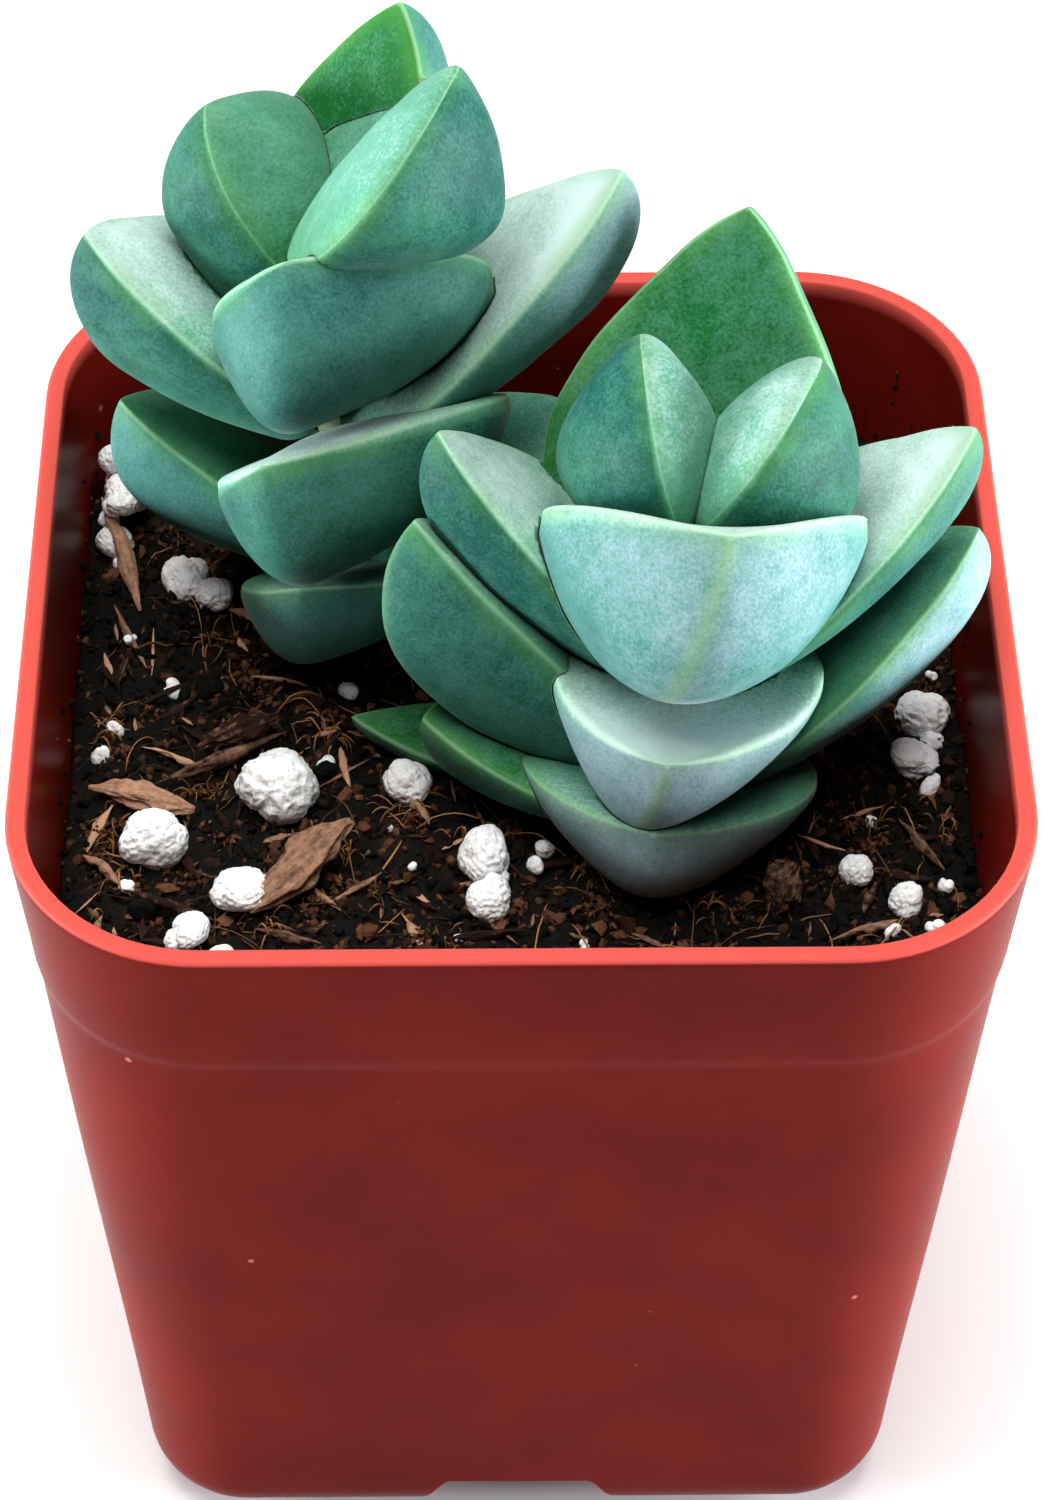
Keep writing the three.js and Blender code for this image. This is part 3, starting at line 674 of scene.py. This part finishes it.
def rounded_ring(ring, blur):
    """Closed outline with its corners rounded off by a blur along its own length."""
    step = np.linalg.norm(np.roll(ring, -1, axis=0) - ring, axis=1)
    place = np.concatenate([[0], np.cumsum(step)[:-1]])
    total = step.sum()
    apart = np.abs(place[:, None] - place[None, :])
    apart = np.minimum(apart, total - apart)
    weight = np.exp(-0.5 * (apart / blur) ** 2) * ((step + np.roll(step, 1)) / 2)[None, :]
    return (weight / weight.sum(axis=1, keepdims=True)) @ ring, place, total


def leaf_mesh(plant, spec, seed):
    """Leaf of one formula: rings from base to tip round a flat or domed face and a keeled back."""
    base, tip, normal, side = (np.array(v) for v in leaf_frame(plant, spec))
    dice = np.random.default_rng(seed)
    along = 1 - (1 - np.linspace(0, 1, LEAF_ROWS + 1)[:-1]) ** 1.5
    sweep = np.linspace(-1, 1, UPPER_POINTS + 1)
    upper = 0.45 * sweep + 0.55 * np.sin(sweep * math.pi / 2)
    sweep = np.linspace(1, -1, LOWER_POINTS + 1)[1:-1]
    fold = np.sign(sweep) * (0.5 * np.abs(sweep) + 0.5 * (0.5 - 0.5 * np.cos(np.abs(sweep) * math.pi)))
    shift = spec["keel_shift"]
    lower = shift + fold * np.where(fold < 0, 1 + shift, 1 - shift)
    keel = UPPER_POINTS + 1 + int(np.abs(fold).argmin())
    across = np.concatenate([upper, lower])
    on_face = np.arange(len(across)) <= UPPER_POINTS
    width = outline_share(
        along, spec["widest_at"], spec["base_width"], spec["side_curve"], spec["side_point"],
    )
    depth = outline_share(
        along, spec["deepest_at"], spec["base_depth"], spec["back_curve"], spec["back_point"],
    )
    points, edge, fold_tint, inner = [], [], [], []
    for row, share in enumerate(along):
        reach = spec["width"] / 2 * width[row]
        # The blur below draws the margins in, so they start a little wider
        half = reach * (1 - np.sign(across) * spec["lopsided"]) + min(0.25, 0.1 * reach)
        from_keel = np.minimum(1, np.abs(across - shift) / np.where(across < shift, 1 + shift, 1 - shift))
        lift = np.where(
            on_face,
            spec["dome"] * half * (1 - across ** 2),
            -spec["depth"] * depth[row] * (1 - from_keel ** spec["flank"]) ** spec["flank_round"],
        )
        lift = lift + spec["cup"] * half * across ** 2
        ring = np.column_stack([across * half, lift])
        ring, place, total = rounded_ring(ring, min(spec["soft"], 0.2 * reach + 0.02))
        points.append(base + (tip - base) * share + ring[:, :1] * side + ring[:, 1:] * normal)
        apart = np.abs(place[:, None] - place[[0, UPPER_POINTS, keel]])
        apart = np.minimum(apart, total - apart)
        to_tip = np.linalg.norm(points[-1] - tip, axis=1)
        edge.append(np.minimum(apart[:, :2].min(axis=1), to_tip) + spec["plain"])
        fold_tint.append(spec["fold"] * np.exp(-(apart[:, 2] / 0.6) ** 2) * min(1, 0.4 + share))
        inner.append(on_face.astype(float))
    points.append(np.array([base - 0.3 * (tip - base) / np.linalg.norm(tip - base), tip]))
    points = np.concatenate(points)
    edge = np.concatenate([*edge, [9, 0]])
    fold_tint = np.concatenate([*fold_tint, [0, 0]])
    inner = np.concatenate([*inner, [0, 0.5]])
    # Grown skin is a little uneven: a tenth of a millimetre over a few millimetres
    centre = base + (tip - base) * 0.5
    drift = Vector(dice.uniform(-50, 50, 3))
    bumps = np.array([noise.noise(Vector(p) / 4.5 + drift) for p in points])
    away = points - centre
    away /= np.maximum(np.linalg.norm(away, axis=1, keepdims=True), 1e-6)
    points = points + away * (0.16 * bumps)[:, None]
    count = len(across)
    share = np.concatenate([np.repeat(along, count), [0, 1]])
    # Wax is painted thinner towards the base and thickest towards the tip, a painted shade for the base deep
    # in the rosette
    bloom = np.where(inner > 0.5, spec["frost"], spec["bloom"]) * (0.35 + 0.8 * share)
    faces = ring_faces(LEAF_ROWS, count)
    name = f"leaf_{plant['name']}_{spec['name']}"
    return new_mesh(name, points, faces, {
        "edge": edge, "keel": fold_tint, "inner": inner, "bloom": bloom,
    })


def stem_mesh(plant, grow=0.0):
    """Tapered stem with a slight swelling where each pair of leaves was."""
    low, high = stem_point(plant, -STEM_DEPTH), stem_point(plant, plant["stem_top"] - plant["foot"][2])
    axis = (high - low).normalized()
    side = axis.cross(Vector((0, 1, 0))).normalized()
    other = axis.cross(side)
    rows, count, points = 40, 28, []
    for row in range(rows):
        share = row / (rows - 1)
        middle = low.lerp(high, share)
        radius = STEM_RADIUS * (1 - 0.5 * share) * (0.94 + 0.05 * math.cos(share * 50)) + grow
        for step in range(count):
            angle = 2 * math.pi * step / count
            points.append(middle + radius * (side * math.cos(angle) + other * math.sin(angle)))
    points += [low - axis * grow, high + axis * grow]
    return new_mesh(f"stem_{plant['name']}", [tuple(p) for p in points], ring_faces(rows, count))


def grown(mesh, distance):
    """Copy of a mesh, larger by a distance on every side."""
    count = len(mesh.vertices)
    points, normals = np.empty(count * 3), np.empty(count * 3)
    mesh.vertices.foreach_get("co", points)
    mesh.vertex_normals.foreach_get("vector", normals)
    copy = mesh.copy()
    copy.vertices.foreach_set("co", points + normals * distance * MM)
    copy.update()
    return copy


def box_of(mesh):
    points = np.empty(len(mesh.vertices) * 3)
    mesh.vertices.foreach_get("co", points)
    points = points.reshape(-1, 3)
    return points.min(axis=0), points.max(axis=0)


def boxes_touch(one, other):
    return bool((one[0] <= other[1]).all() and (other[0] <= one[1]).all())


def make_plants(skin, cork):
    """Stems and leaves, each leaf trimmed by those above it and by the front plant."""
    cutters, pieces = [], []
    for plant in (FRONT_PLANT, BACK_PLANT):
        node = f"stem_{plant['name']}"
        pieces.append(place_piece(f"{node}_cork", stem_mesh(plant), cork, "stem", node))
        fat = stem_mesh(plant, TIGHT)
        cutters.append((hidden_cutter("stem_cutter", fat), box_of(fat)))
    for number, plant in enumerate((FRONT_PLANT, BACK_PLANT)):
        for place, spec in enumerate(plant["leaves"]):
            node = f"leaf_{plant['name']}_{spec['name']}"
            mesh = leaf_mesh(plant, spec, 100 * number + place)
            fat, box = grown(mesh, TIGHT), box_of(mesh)
            piece = place_piece(f"{node}_skin", mesh, skin, "leaf", node)
            cut_with(piece, [cutter for cutter, other in cutters if boxes_touch(box, other)])
            pieces.append(piece)
            cutters.append((hidden_cutter("leaf_cutter", fat), box_of(fat)))
    for cutter, _ in cutters:
        bpy.data.objects.remove(cutter)
    return pieces


# Soil

SOIL_LEVEL = 50.4
SOIL_RELIEF = 0.8
SOIL_RINGS = 130
SOIL_GAP = 0.15

# How many of each lie on the soil
CRUMBS = 9000
CLUMPS = 60
CLODS = 260
DUST_SPECKS = 420
FIBRES = 330
FIBRE_TUFTS = 56
SHREDS = 380

# How far from the middle a clump, a fibre and a shred may reach
CLUMP_REACH = 25.9
FIBRE_REACH = 25.8
SHRED_REACH = 25.3


def soil_height(x, y):
    waves = math.sin(0.41 * x + 0.8) * math.cos(0.37 * y - 0.5) + 0.6 * math.sin(0.9 * x - 0.7 * y)
    return SOIL_LEVEL + SOIL_RELIEF * 0.5 * waves


def crumbly_height(x, y):
    """Soil height with lumps of 4 mm, 1.5 mm and 0.6 mm on it."""
    lumps = 0.55 * noise.noise((x / 4, y / 4, 3.1)) + 0.4 * noise.noise((x / 1.5, y / 1.5, 7.7))
    return soil_height(x, y) + lumps + 0.2 * noise.noise((x / 0.6, y / 0.6, 1.3))


def make_soil(peat):
    side = WALL + SOIL_GAP
    rings = [
        pot_ring(FLOOR_TOP + 0.2, side + BASE_ROUNDING * 0.5),
        pot_ring(FLOOR_TOP + BASE_ROUNDING, side),
    ]
    rings += [pot_ring(z, side) for z in (20, 35, 45, 49)]
    tone = [0.1] * (len(rings) * len(rings[0]))
    rim = pot_ring(SOIL_LEVEL, side)
    for ring in range(SOIL_RINGS, 0, -1):
        reach = ring / SOIL_RINGS
        row = rim * (reach, reach, 1)
        row[:, 2] = [crumbly_height(x, y) for x, y, _ in row]
        rings.append(row)
        tone += [0.02 + 0.2 * noise.noise((x / 3, y / 3, 9.9)) for x, y, _ in row]
    points = np.concatenate([*rings, [[0, 0, FLOOR_TOP + 0.2]], [[0, 0, crumbly_height(0, 0)]]])
    mesh = new_mesh("soil_bed", points, ring_faces(len(rings), len(rim)), {"tone": [*tone, 0.1, 0.1]})
    place_piece("soil_bed", mesh, peat, "soil", "soil")


def unit_ball(detail):
    """Points and faces of a ball of triangles."""
    ball = bmesh.new()
    bmesh.ops.create_icosphere(ball, subdivisions=detail, radius=1)
    ball.verts.ensure_lookup_table()
    points = np.array([v.co[:] for v in ball.verts])
    faces = [[v.index for v in f.verts] for f in ball.faces]
    ball.free()
    return points, faces


def eight_sided():
    """Points and faces of a body with eight sides, for crumbs too small to show more."""
    points = np.concatenate([np.eye(3), -np.eye(3)])
    faces = []
    for x in (0, 3):
        for y in (1, 4):
            for z in (2, 5):
                faces.append((x, y, z) if (x + y + z) % 2 else (x, z, y))
    return points, faces


class Heap:
    """Many small bodies gathered into one mesh."""

    def __init__(self):
        self.points, self.faces, self.values, self.count = [], [], {}, 0

    def put(self, points, faces, **values):
        self.points.append(points)
        self.faces += [tuple(i + self.count for i in face) for face in faces]
        for key, value in values.items():
            data = np.broadcast_to(value, (len(points),) if np.ndim(value) < 2 else np.shape(value))
            self.values.setdefault(key, []).append(data)
        self.count += len(points)

    def mesh(self, name, smooth=True):
        joined = {key: np.concatenate(parts) for key, parts in self.values.items()}
        return new_mesh(name, np.concatenate(self.points), self.faces, joined, smooth)


def peat_tone():
    """Most crumbs are near black and wet; about a third are brown and drier."""
    if chance.random() < 0.34:
        tone = chance.normal(0.5, 0.25)
    else:
        tone = chance.normal(0, 0.08)
    return float(np.clip(tone, -0.1, 1))


def turned(points):
    """Points turned by a random rotation."""
    q = chance.normal(size=4)
    q /= np.linalg.norm(q)
    w, x, y, z = q
    matrix = np.array([
        [1 - 2 * (y * y + z * z), 2 * (x * y - z * w), 2 * (x * z + y * w)],
        [2 * (x * y + z * w), 1 - 2 * (x * x + z * z), 2 * (y * z - x * w)],
        [2 * (x * z - y * w), 2 * (y * z + x * w), 1 - 2 * (x * x + y * y)],
    ])
    return points @ matrix.T


def lumpy(points, lumps, depth, least=0.4):
    """Ball points pushed into a popcorn shape by round lumps in random directions."""
    heads = chance.normal(size=(lumps, 3))
    heads /= np.linalg.norm(heads, axis=1, keepdims=True)
    sizes = chance.uniform(0.55, 1.0, lumps)
    spread = chance.uniform(least, 0.75, lumps)
    towards = points / np.linalg.norm(points, axis=1, keepdims=True)
    nearness = np.clip((towards @ heads.T - spread) / (1 - spread), 0, 1) * sizes
    radius = 1 - depth + depth * np.sqrt(nearness.max(axis=1))
    return points * radius[:, None]


class Room:
    """Tells how far a place is from the leaves and stems, negative inside them."""

    def __init__(self, pieces):
        points, faces = [], []
        for piece in pieces:
            start = len(points)
            points += [tuple(v.co / MM) for v in piece.data.vertices]
            faces += [tuple(i + start for i in f.vertices) for f in piece.data.polygons]
        self.tree = BVHTree.FromPolygons(points, faces)

    def clearance(self, point):
        near, normal, _, distance = self.tree.find_nearest(Vector(point))
        return distance if (Vector(point) - near).dot(normal) >= 0 else -distance


def open_place(room, radius, edge=0.4):
    """Random place on the soil, clear of leaves and the pot's wall."""
    limit = pot_half(SOIL_LEVEL) - WALL - edge - radius
    corner = pot_corner(SOIL_LEVEL) - WALL
    while True:
        x, y = chance.uniform(-limit, limit, 2)
        over = max(abs(x) - (limit - corner), 0), max(abs(y) - (limit - corner), 0)
        if math.hypot(*over) > corner:
            continue
        z = crumbly_height(x, y) + radius * 0.3
        if room.clearance((x, y, z)) > radius * 0.9:
            return x, y, z


def make_crumbs(room, peat):
    """Loose peat: a litter of crisp fine crumbs, and clods of up to 2.4 mm."""
    heap = Heap()
    shape, faces = unit_ball(1)
    for _ in range(CRUMBS):
        size = min(0.5, 0.19 * math.exp(chance.normal(0, 0.45)))
        place = open_place(room, size, edge=-0.2)
        bumps = np.clip(1 + 0.3 * chance.normal(size=len(shape)), 0.5, 1.5)
        body = turned(shape * bumps[:, None] * chance.uniform(0.4, 1.4, 3)) * size
        heap.put(body + place, faces, tone=peat_tone())
    # Drier peat holds together in brown clumps some 3 mm wide
    shape, faces = eight_sided()
    for _ in range(CLUMPS):
        x, y, _ = open_place(room, 0.7)
        for _ in range(int(chance.integers(20, 60))):
            dx, dy = chance.normal(0, 0.6, 2)
            size = chance.uniform(0.08, 0.26)
            rise = chance.uniform(0, 0.7) * math.exp(-dx * dx - dy * dy)
            place = (x + dx, y + dy, crumbly_height(x + dx, y + dy) + rise)
            if max(abs(place[0]), abs(place[1])) > CLUMP_REACH or room.clearance(place) < size:
                continue
            body = turned(shape * chance.uniform(0.3, 1.5, 3)) * size
            heap.put(body + place, faces, tone=float(np.clip(chance.normal(0.6, 0.28), 0, 1.2)))
    place_piece("peat_crumbs", heap.mesh("peat_crumbs", smooth=False), peat, "soil")
    heap = Heap()
    shape, faces = unit_ball(3)
    for _ in range(CLODS):
        size = min(1, 0.45 * math.exp(chance.normal(0, 0.45)))
        place = open_place(room, size)
        body = turned(lumpy(lumpy(shape, 12, 0.5, 0.2), 30, 0.25) * chance.uniform(0.5, 1.2, 3)) * size
        heap.put(body + place, faces, tone=0.2 * peat_tone())
    place_piece("peat_clods", heap.mesh("peat_clods"), peat, "soil")


def make_dust(peat):
    """Specks of peat that stick to the inside of the wall over the soil."""
    heap = Heap()
    shape, faces = unit_ball(1)
    for _ in range(DUST_SPECKS):
        z = SOIL_LEVEL + min(9.5, 0.4 + chance.exponential(1.4))
        ring = pot_ring(z, WALL + 0.02)
        x, y, _ = ring[chance.integers(len(ring))]
        size = min(0.3, 0.11 * math.exp(chance.normal(0, 0.5)))
        reach = 1 - 0.1 / math.hypot(x, y)
        x, y = x * reach, y * reach
        bumps = np.clip(1 + 0.3 * chance.normal(size=len(shape)), 0.5, 1.5)
        body = turned(shape * bumps[:, None]) * size
        heap.put(body + (x, y, z), faces, tone=peat_tone())
    place_piece("peat_dust", heap.mesh("peat_dust", smooth=False), peat, "soil")


def strand(start, heading, length, radius, bend, lift, segments=9, sides=5):
    """Thin curved strand that lies on the soil: its points and faces."""
    point = np.array(start, dtype=float)
    angle = heading
    path = [point.copy()]
    for step in range(segments):
        angle += bend / segments
        point = point + np.array([math.cos(angle), math.sin(angle), 0]) * length / segments
        share = (step + 1) / segments
        ground = max(crumbly_height(point[0], point[1]), SOIL_LEVEL - 0.5)
        point[2] = ground + radius + lift * math.sin(share * math.pi)
        path.append(point.copy())
    path = np.array(path)
    path[0, 2] = crumbly_height(path[0, 0], path[0, 1]) + radius
    points = []
    for row, middle in enumerate(path):
        ahead = path[min(row + 1, segments)] - path[max(row - 1, 0)]
        ahead /= np.linalg.norm(ahead)
        side = np.cross(ahead, (0, 0, 1))
        side /= np.linalg.norm(side)
        over = np.cross(side, ahead)
        thick = radius * (0.35 + 0.65 * math.sin(math.pi * (0.08 + 0.84 * row / segments)))
        for corner in range(sides):
            turn = -2 * math.pi * corner / sides
            points.append(middle + thick * (side * math.cos(turn) + over * math.sin(turn)))
    points += [path[0], path[-1]]
    return np.array(points), ring_faces(segments + 1, sides)


def make_fibres(room, fibre):
    """Coir and root fibres: single ones between the crumbs, and tufts of short curled ones."""
    heap = Heap()
    starts = []
    for _ in range(FIBRES):
        x, y, _ = open_place(room, 0.3)
        length, radius = chance.uniform(1, 6), chance.uniform(0.02, 0.07)
        starts.append((x, y, length, radius, chance.normal(0.35, 0.3), 0.9))
    for _ in range(FIBRE_TUFTS):
        x, y, _ = open_place(room, 0.6)
        tone = chance.uniform(0.1, 0.6)
        for _ in range(int(chance.integers(10, 26))):
            dx, dy = chance.normal(0, 0.55, 2)
            length, radius = chance.uniform(0.4, 1.8), chance.uniform(0.025, 0.07)
            starts.append((x + dx, y + dy, length, radius, tone, 0.8))
    for x, y, length, radius, tone, lift in starts:
        heading, bend = chance.uniform(0, 2 * math.pi), chance.normal(0, 0.9)
        points, faces = strand((x, y, 0), heading, length, radius, bend, chance.uniform(0, lift))
        if np.abs(points[:, :2]).max() > FIBRE_REACH or min(room.clearance(p) for p in points[::9]) < 0.1:
            continue
        tone = float(np.clip(tone + chance.normal(0, 0.12), 0, 1))
        heap.put(points, faces, tone=tone)
    place_piece("coir_fibres", heap.mesh("coir_fibres"), fibre, "bark")


def splinter(start, end, width, thickness, rows=14, sides=12, ragged=0.25, bow=0.0):
    """Splinter of bark between two points, pointed at both ends, with its grain coordinates."""
    start, end = np.array(start, dtype=float), np.array(end, dtype=float)
    along = end - start
    length = np.linalg.norm(along)
    along /= length
    side = np.cross(along, (0, 0, 1))
    side /= np.linalg.norm(side)
    over = np.cross(side, along)
    drift = chance.uniform(-20, 20, 3)
    points, grain = [], []
    for row in range(rows):
        share = row / (rows - 1)
        full = 0.1 + 0.9 * math.sin(math.pi * (0.03 + 0.94 * share ** 1.15)) ** 1.2
        sway = 0.12 * width * math.sin(share * 5 + drift[0])
        for corner in range(sides):
            turn = -2 * math.pi * corner / sides
            around = (math.cos(turn) * 2 + drift[1], math.sin(turn) * 2)
            rag = 1 + ragged * noise.noise((share * 5 + drift[0], *around))
            a = width / 2 * full * math.copysign(abs(math.cos(turn)) ** 0.7, math.cos(turn)) * rag + sway
            b = thickness / 2 * full * math.copysign(abs(math.sin(turn)) ** 0.8, math.sin(turn)) * rag
            # Layers split off in long ridges about 0.4 mm apart
            split = noise.noise((share * length * 0.3 + drift[1], a / 0.4, b / 0.4 + drift[0]))
            b += thickness * 0.22 * split + bow * math.sin(math.pi * share) * (1 - (2 * a / width) ** 2)
            points.append(start + along * length * share + side * a + over * b)
            grain.append((share * length * 0.12 + drift[2], a, b))
    points += [start, end]
    grain += [(drift[2], 0, 0), (length * 0.12 + drift[2], 0, 0)]
    return np.array(points), ring_faces(rows, sides), np.array(grain)


def make_shreds(room, bark):
    """Small shreds of bark on the soil."""
    heap = Heap()
    made = 0
    while made < SHREDS:
        length = 0.8 + 3.6 * chance.random() ** 2
        x, y, z = open_place(room, 0.4)
        heading = chance.uniform(0, 2 * math.pi)
        far = (x + length * math.cos(heading), y + length * math.sin(heading))
        if max(abs(far[0]), abs(far[1])) > SHRED_REACH:
            continue
        width = min(chance.uniform(0.12, 0.7), length * 0.3)
        start = (x, y, z + 0.1)
        end = (*far, crumbly_height(*far) + chance.uniform(0, 0.9))
        points, faces, grain = splinter(start, end, width, width * 0.5, rows=9, sides=8, ragged=1.1)
        if min(room.clearance(p) for p in points[::7]) < 0.15:
            continue
        heap.put(points, faces, tone=float(np.clip(chance.normal(0, 0.45), -0.6, 1)), grain=grain)
        made += 1
    place_piece("bark_shreds", heap.mesh("bark_shreds"), bark, "bark")


# Grains and chips

PERLITE = [
    (-24.3, 18.2, 2.6, 1.6), (-24.6, 14.8, 2.2, 0.7), (-24.3, 16.4, 2.5, 3.0), (-24.7, 19.8, 2.0, 2.7),
    (-20.3, 11.6, 2.8, 0.7), (-18.4, 9.6, 2.4, 0.7),
    (-14.2, -6.2, 4.3, 1.3), (-21.2, -11.0, 3.2, 1.2), (-16.0, -14.8, 2.6, 1.0), (-19.0, -17.6, 2.2, 0.8),
    (-6.6, -6.0, 2.4, 1.0), (-2.0, -12.0, 2.6, 1.0), (-1.8, -15.2, 2.4, 0.9), (24.3, -0.4, 3.0, 0.9),
    (23.4, -4.4, 2.6, 0.8), (19.4, -13.3, 1.9, 0.7), (22.2, -15.0, 1.9, 0.7),
]
# Smaller grains: x, y and width
SMALL_PERLITE = [
    (-24.9, 20.6, 1.9), (-25.3, 16.8, 1.5), (-24.2, 12.8, 1.2), (-19.6, 13.0, 1.4), (-10.1, 2.1, 1.6),
    (-1.0, -13.4, 1.3), (1.4, -10.9, 1.5), (0.9, -12.2, 1.2), (-6.2, -12.1, 0.8), (-20.7, 2.7, 1.3),
    (-24, -0.8, 1.1), (-24.8, -2.8, 1.5), (-11.4, -3.7, 1.4), (24.6, -2.4, 1.6), (24.1, -6.4, 1.6),
    (23.7, -17.4, 1.2), (24.6, -13.4, 1.2), (21.2, -17.2, 1.2), (24.3, 22.8, 1.7), (23.1, 20.4, 1.0),
    (-17.0, -18.9, 1.9), (-22.6, -13.6, 1.1), (-3.6, -17.6, 0.7), (3.6, -18.4, 0.8), (12.2, -19.6, 0.9),
    (6.5, -21.4, 0.7), (17.6, -20.4, 0.8), (-9.6, -19.8, 0.6), (-14.1, 5.2, 0.9), (-23.4, 6.2, 0.8),
    (20.6, -8.6, 0.9), (25.1, 3.4, 0.9), (24.0, 8.1, 0.8), (-12.2, -9.4, 0.6), (-7.6, -9.2, 0.7),
]
# Chips of bark: two ends, width, thickness and tone
BARK = [
    ((-15.6, -16.2, 51.6), (-9.6, -10.8, 53.2), 2.6, 1.5, 0.35),
    ((-25.2, -6.4, 51.4), (-18.8, -8.6, 52.0), 1.8, 1.0, 0.5),
    ((-19.0, -3.4, 51.4), (-14.2, -1.6, 52.6), 1.5, 1.1, 0.0),
    ((14.4, -16.0, 51.1), (15.6, -15.2, 54.2), 2.6, 0.9, 0.1),
    ((25.8, 14.2, 50.4), (26.5, 14.4, 60.6), 2.2, 0.8, 0.6),
    ((-25.6, 17.4, 52.4), (-22.9, 8.9, 50.8), 1.0, 0.8, 0.45),
]
# Twigs and roots: two ends, width and tone
TWIGS = [
    ((-22.2, -3.1), (-18.1, -4.3), 0.42, 0.75), ((-16.0, 2.9), (-12.5, 2.2), 0.3, 1.0),
    ((-21.3, -6.0), (-13.6, -1.9), 0.6, 0.15), ((-18.1, -17.4), (-12.2, -12.6), 0.34, 0.1),
    ((-12.8, -13.4), (-10.3, -16.0), 0.36, 0.35), ((-15.2, -17.0), (-11.4, -18.2), 0.4, 0.2),
    ((-25.2, -11.2), (-23.0, -13.6), 0.7, 0.45), ((-22.8, -14.0), (-17.6, -16.2), 0.5, 0.0),
    ((-6.5, -6.9), (-5.2, -9.4), 0.6, 0.45), ((-24.6, 9.2), (-22.4, 3.9), 0.5, 0.3),
    ((-4.4, -17.8), (0.6, -17.2), 0.4, -0.1), ((3.2, -19.4), (7.4, -20.6), 0.5, 0.3),
    ((17.5, -18.2), (21.6, -16.4), 0.4, 0.4), ((22.0, -9.4), (24.6, -12.4), 0.5, 0.2),
]


def make_twigs(bark):
    heap = Heap()
    for start, end, width, tone in TWIGS:
        ends = [(x, y, crumbly_height(x, y) + 0.35) for x, y in (start, end)]
        points, faces, grain = splinter(*ends, width, width * 0.9, rows=30, sides=10, ragged=1.2, bow=0.25)
        heap.put(points, faces, tone=tone, grain=grain)
    place_piece("bark_twigs", heap.mesh("bark_twigs"), bark, "bark")


def make_grains(perlite):
    dense, dense_faces = unit_ball(5)
    for number, (x, y, width, rise) in enumerate(PERLITE, 1):
        froth = lumpy_detail(lumpy(lumpy(dense, 8, 0.4, 0.2), 40, 0.16), 0.11)
        froth = turned(froth * chance.uniform(0.8, 1.2, 3))
        body = froth * (width * 0.6) * (1, 1, 0.85) + (x, y, soil_height(x, y) + rise)
        mesh = new_mesh(f"perlite_{number}_froth", body, dense_faces)
        place_piece(f"perlite_{number}_froth", mesh, perlite, "perlite", f"perlite_{number}")
    ball, faces = unit_ball(3)
    heap = Heap()
    for x, y, width in SMALL_PERLITE:
        froth = turned(lumpy(lumpy(ball, 6, 0.45, 0.2), 20, 0.2) * chance.uniform(0.65, 1.25, 3))
        heap.put(froth * width * 0.56 + (x, y, crumbly_height(x, y) + width * 0.25), faces)
    place_piece("small_perlite", heap.mesh("small_perlite"), perlite, "perlite")


def lumpy_detail(points, depth):
    """Fine froth on a body of about unit size."""
    drift = Vector(chance.uniform(-30, 30, 3))
    fine = np.array([1 - 2 * abs(noise.noise(Vector(p) * 4.5 + drift)) for p in points])
    return points * (1 + depth * fine)[:, None]


def make_chips(bark):
    for number, (start, end, width, thickness, tone) in enumerate(BARK, 1):
        points, faces, grain = splinter(
            start, end, width, thickness, rows=70, sides=48, ragged=0.6, bow=0.15,
        )
        name = f"bark_chip_{number}_grain"
        mesh = new_mesh(name, points, faces, {"grain": grain, "tone": np.full(len(points), tone)})
        place_piece(name, mesh, bark, "bark", f"bark_chip_{number}")


# Assembly

BOARD = 1500
corners = [(-BOARD, -BOARD, 0), (BOARD, -BOARD, 0), (BOARD, BOARD, 0), (-BOARD, BOARD, 0)]
board = new_mesh("floor", corners, [(0, 1, 2, 3)])
board.materials.append(finish(painted_board))
floor = bpy.data.objects.new("floor", board)
bpy.context.collection.objects.link(floor)

make_pot(finish(moulded_polypropylene))
plants = make_plants(finish(crassula_skin), finish(corky_stem))
peat = finish(damp_peat)
bark = finish(shredded_bark)
make_soil(peat)
room = Room(plants)
make_crumbs(room, peat)
make_dust(peat)
make_fibres(room, finish(plant_fibre))
make_shreds(room, bark)
make_grains(finish(expanded_perlite))
make_chips(bark)
make_twigs(bark)
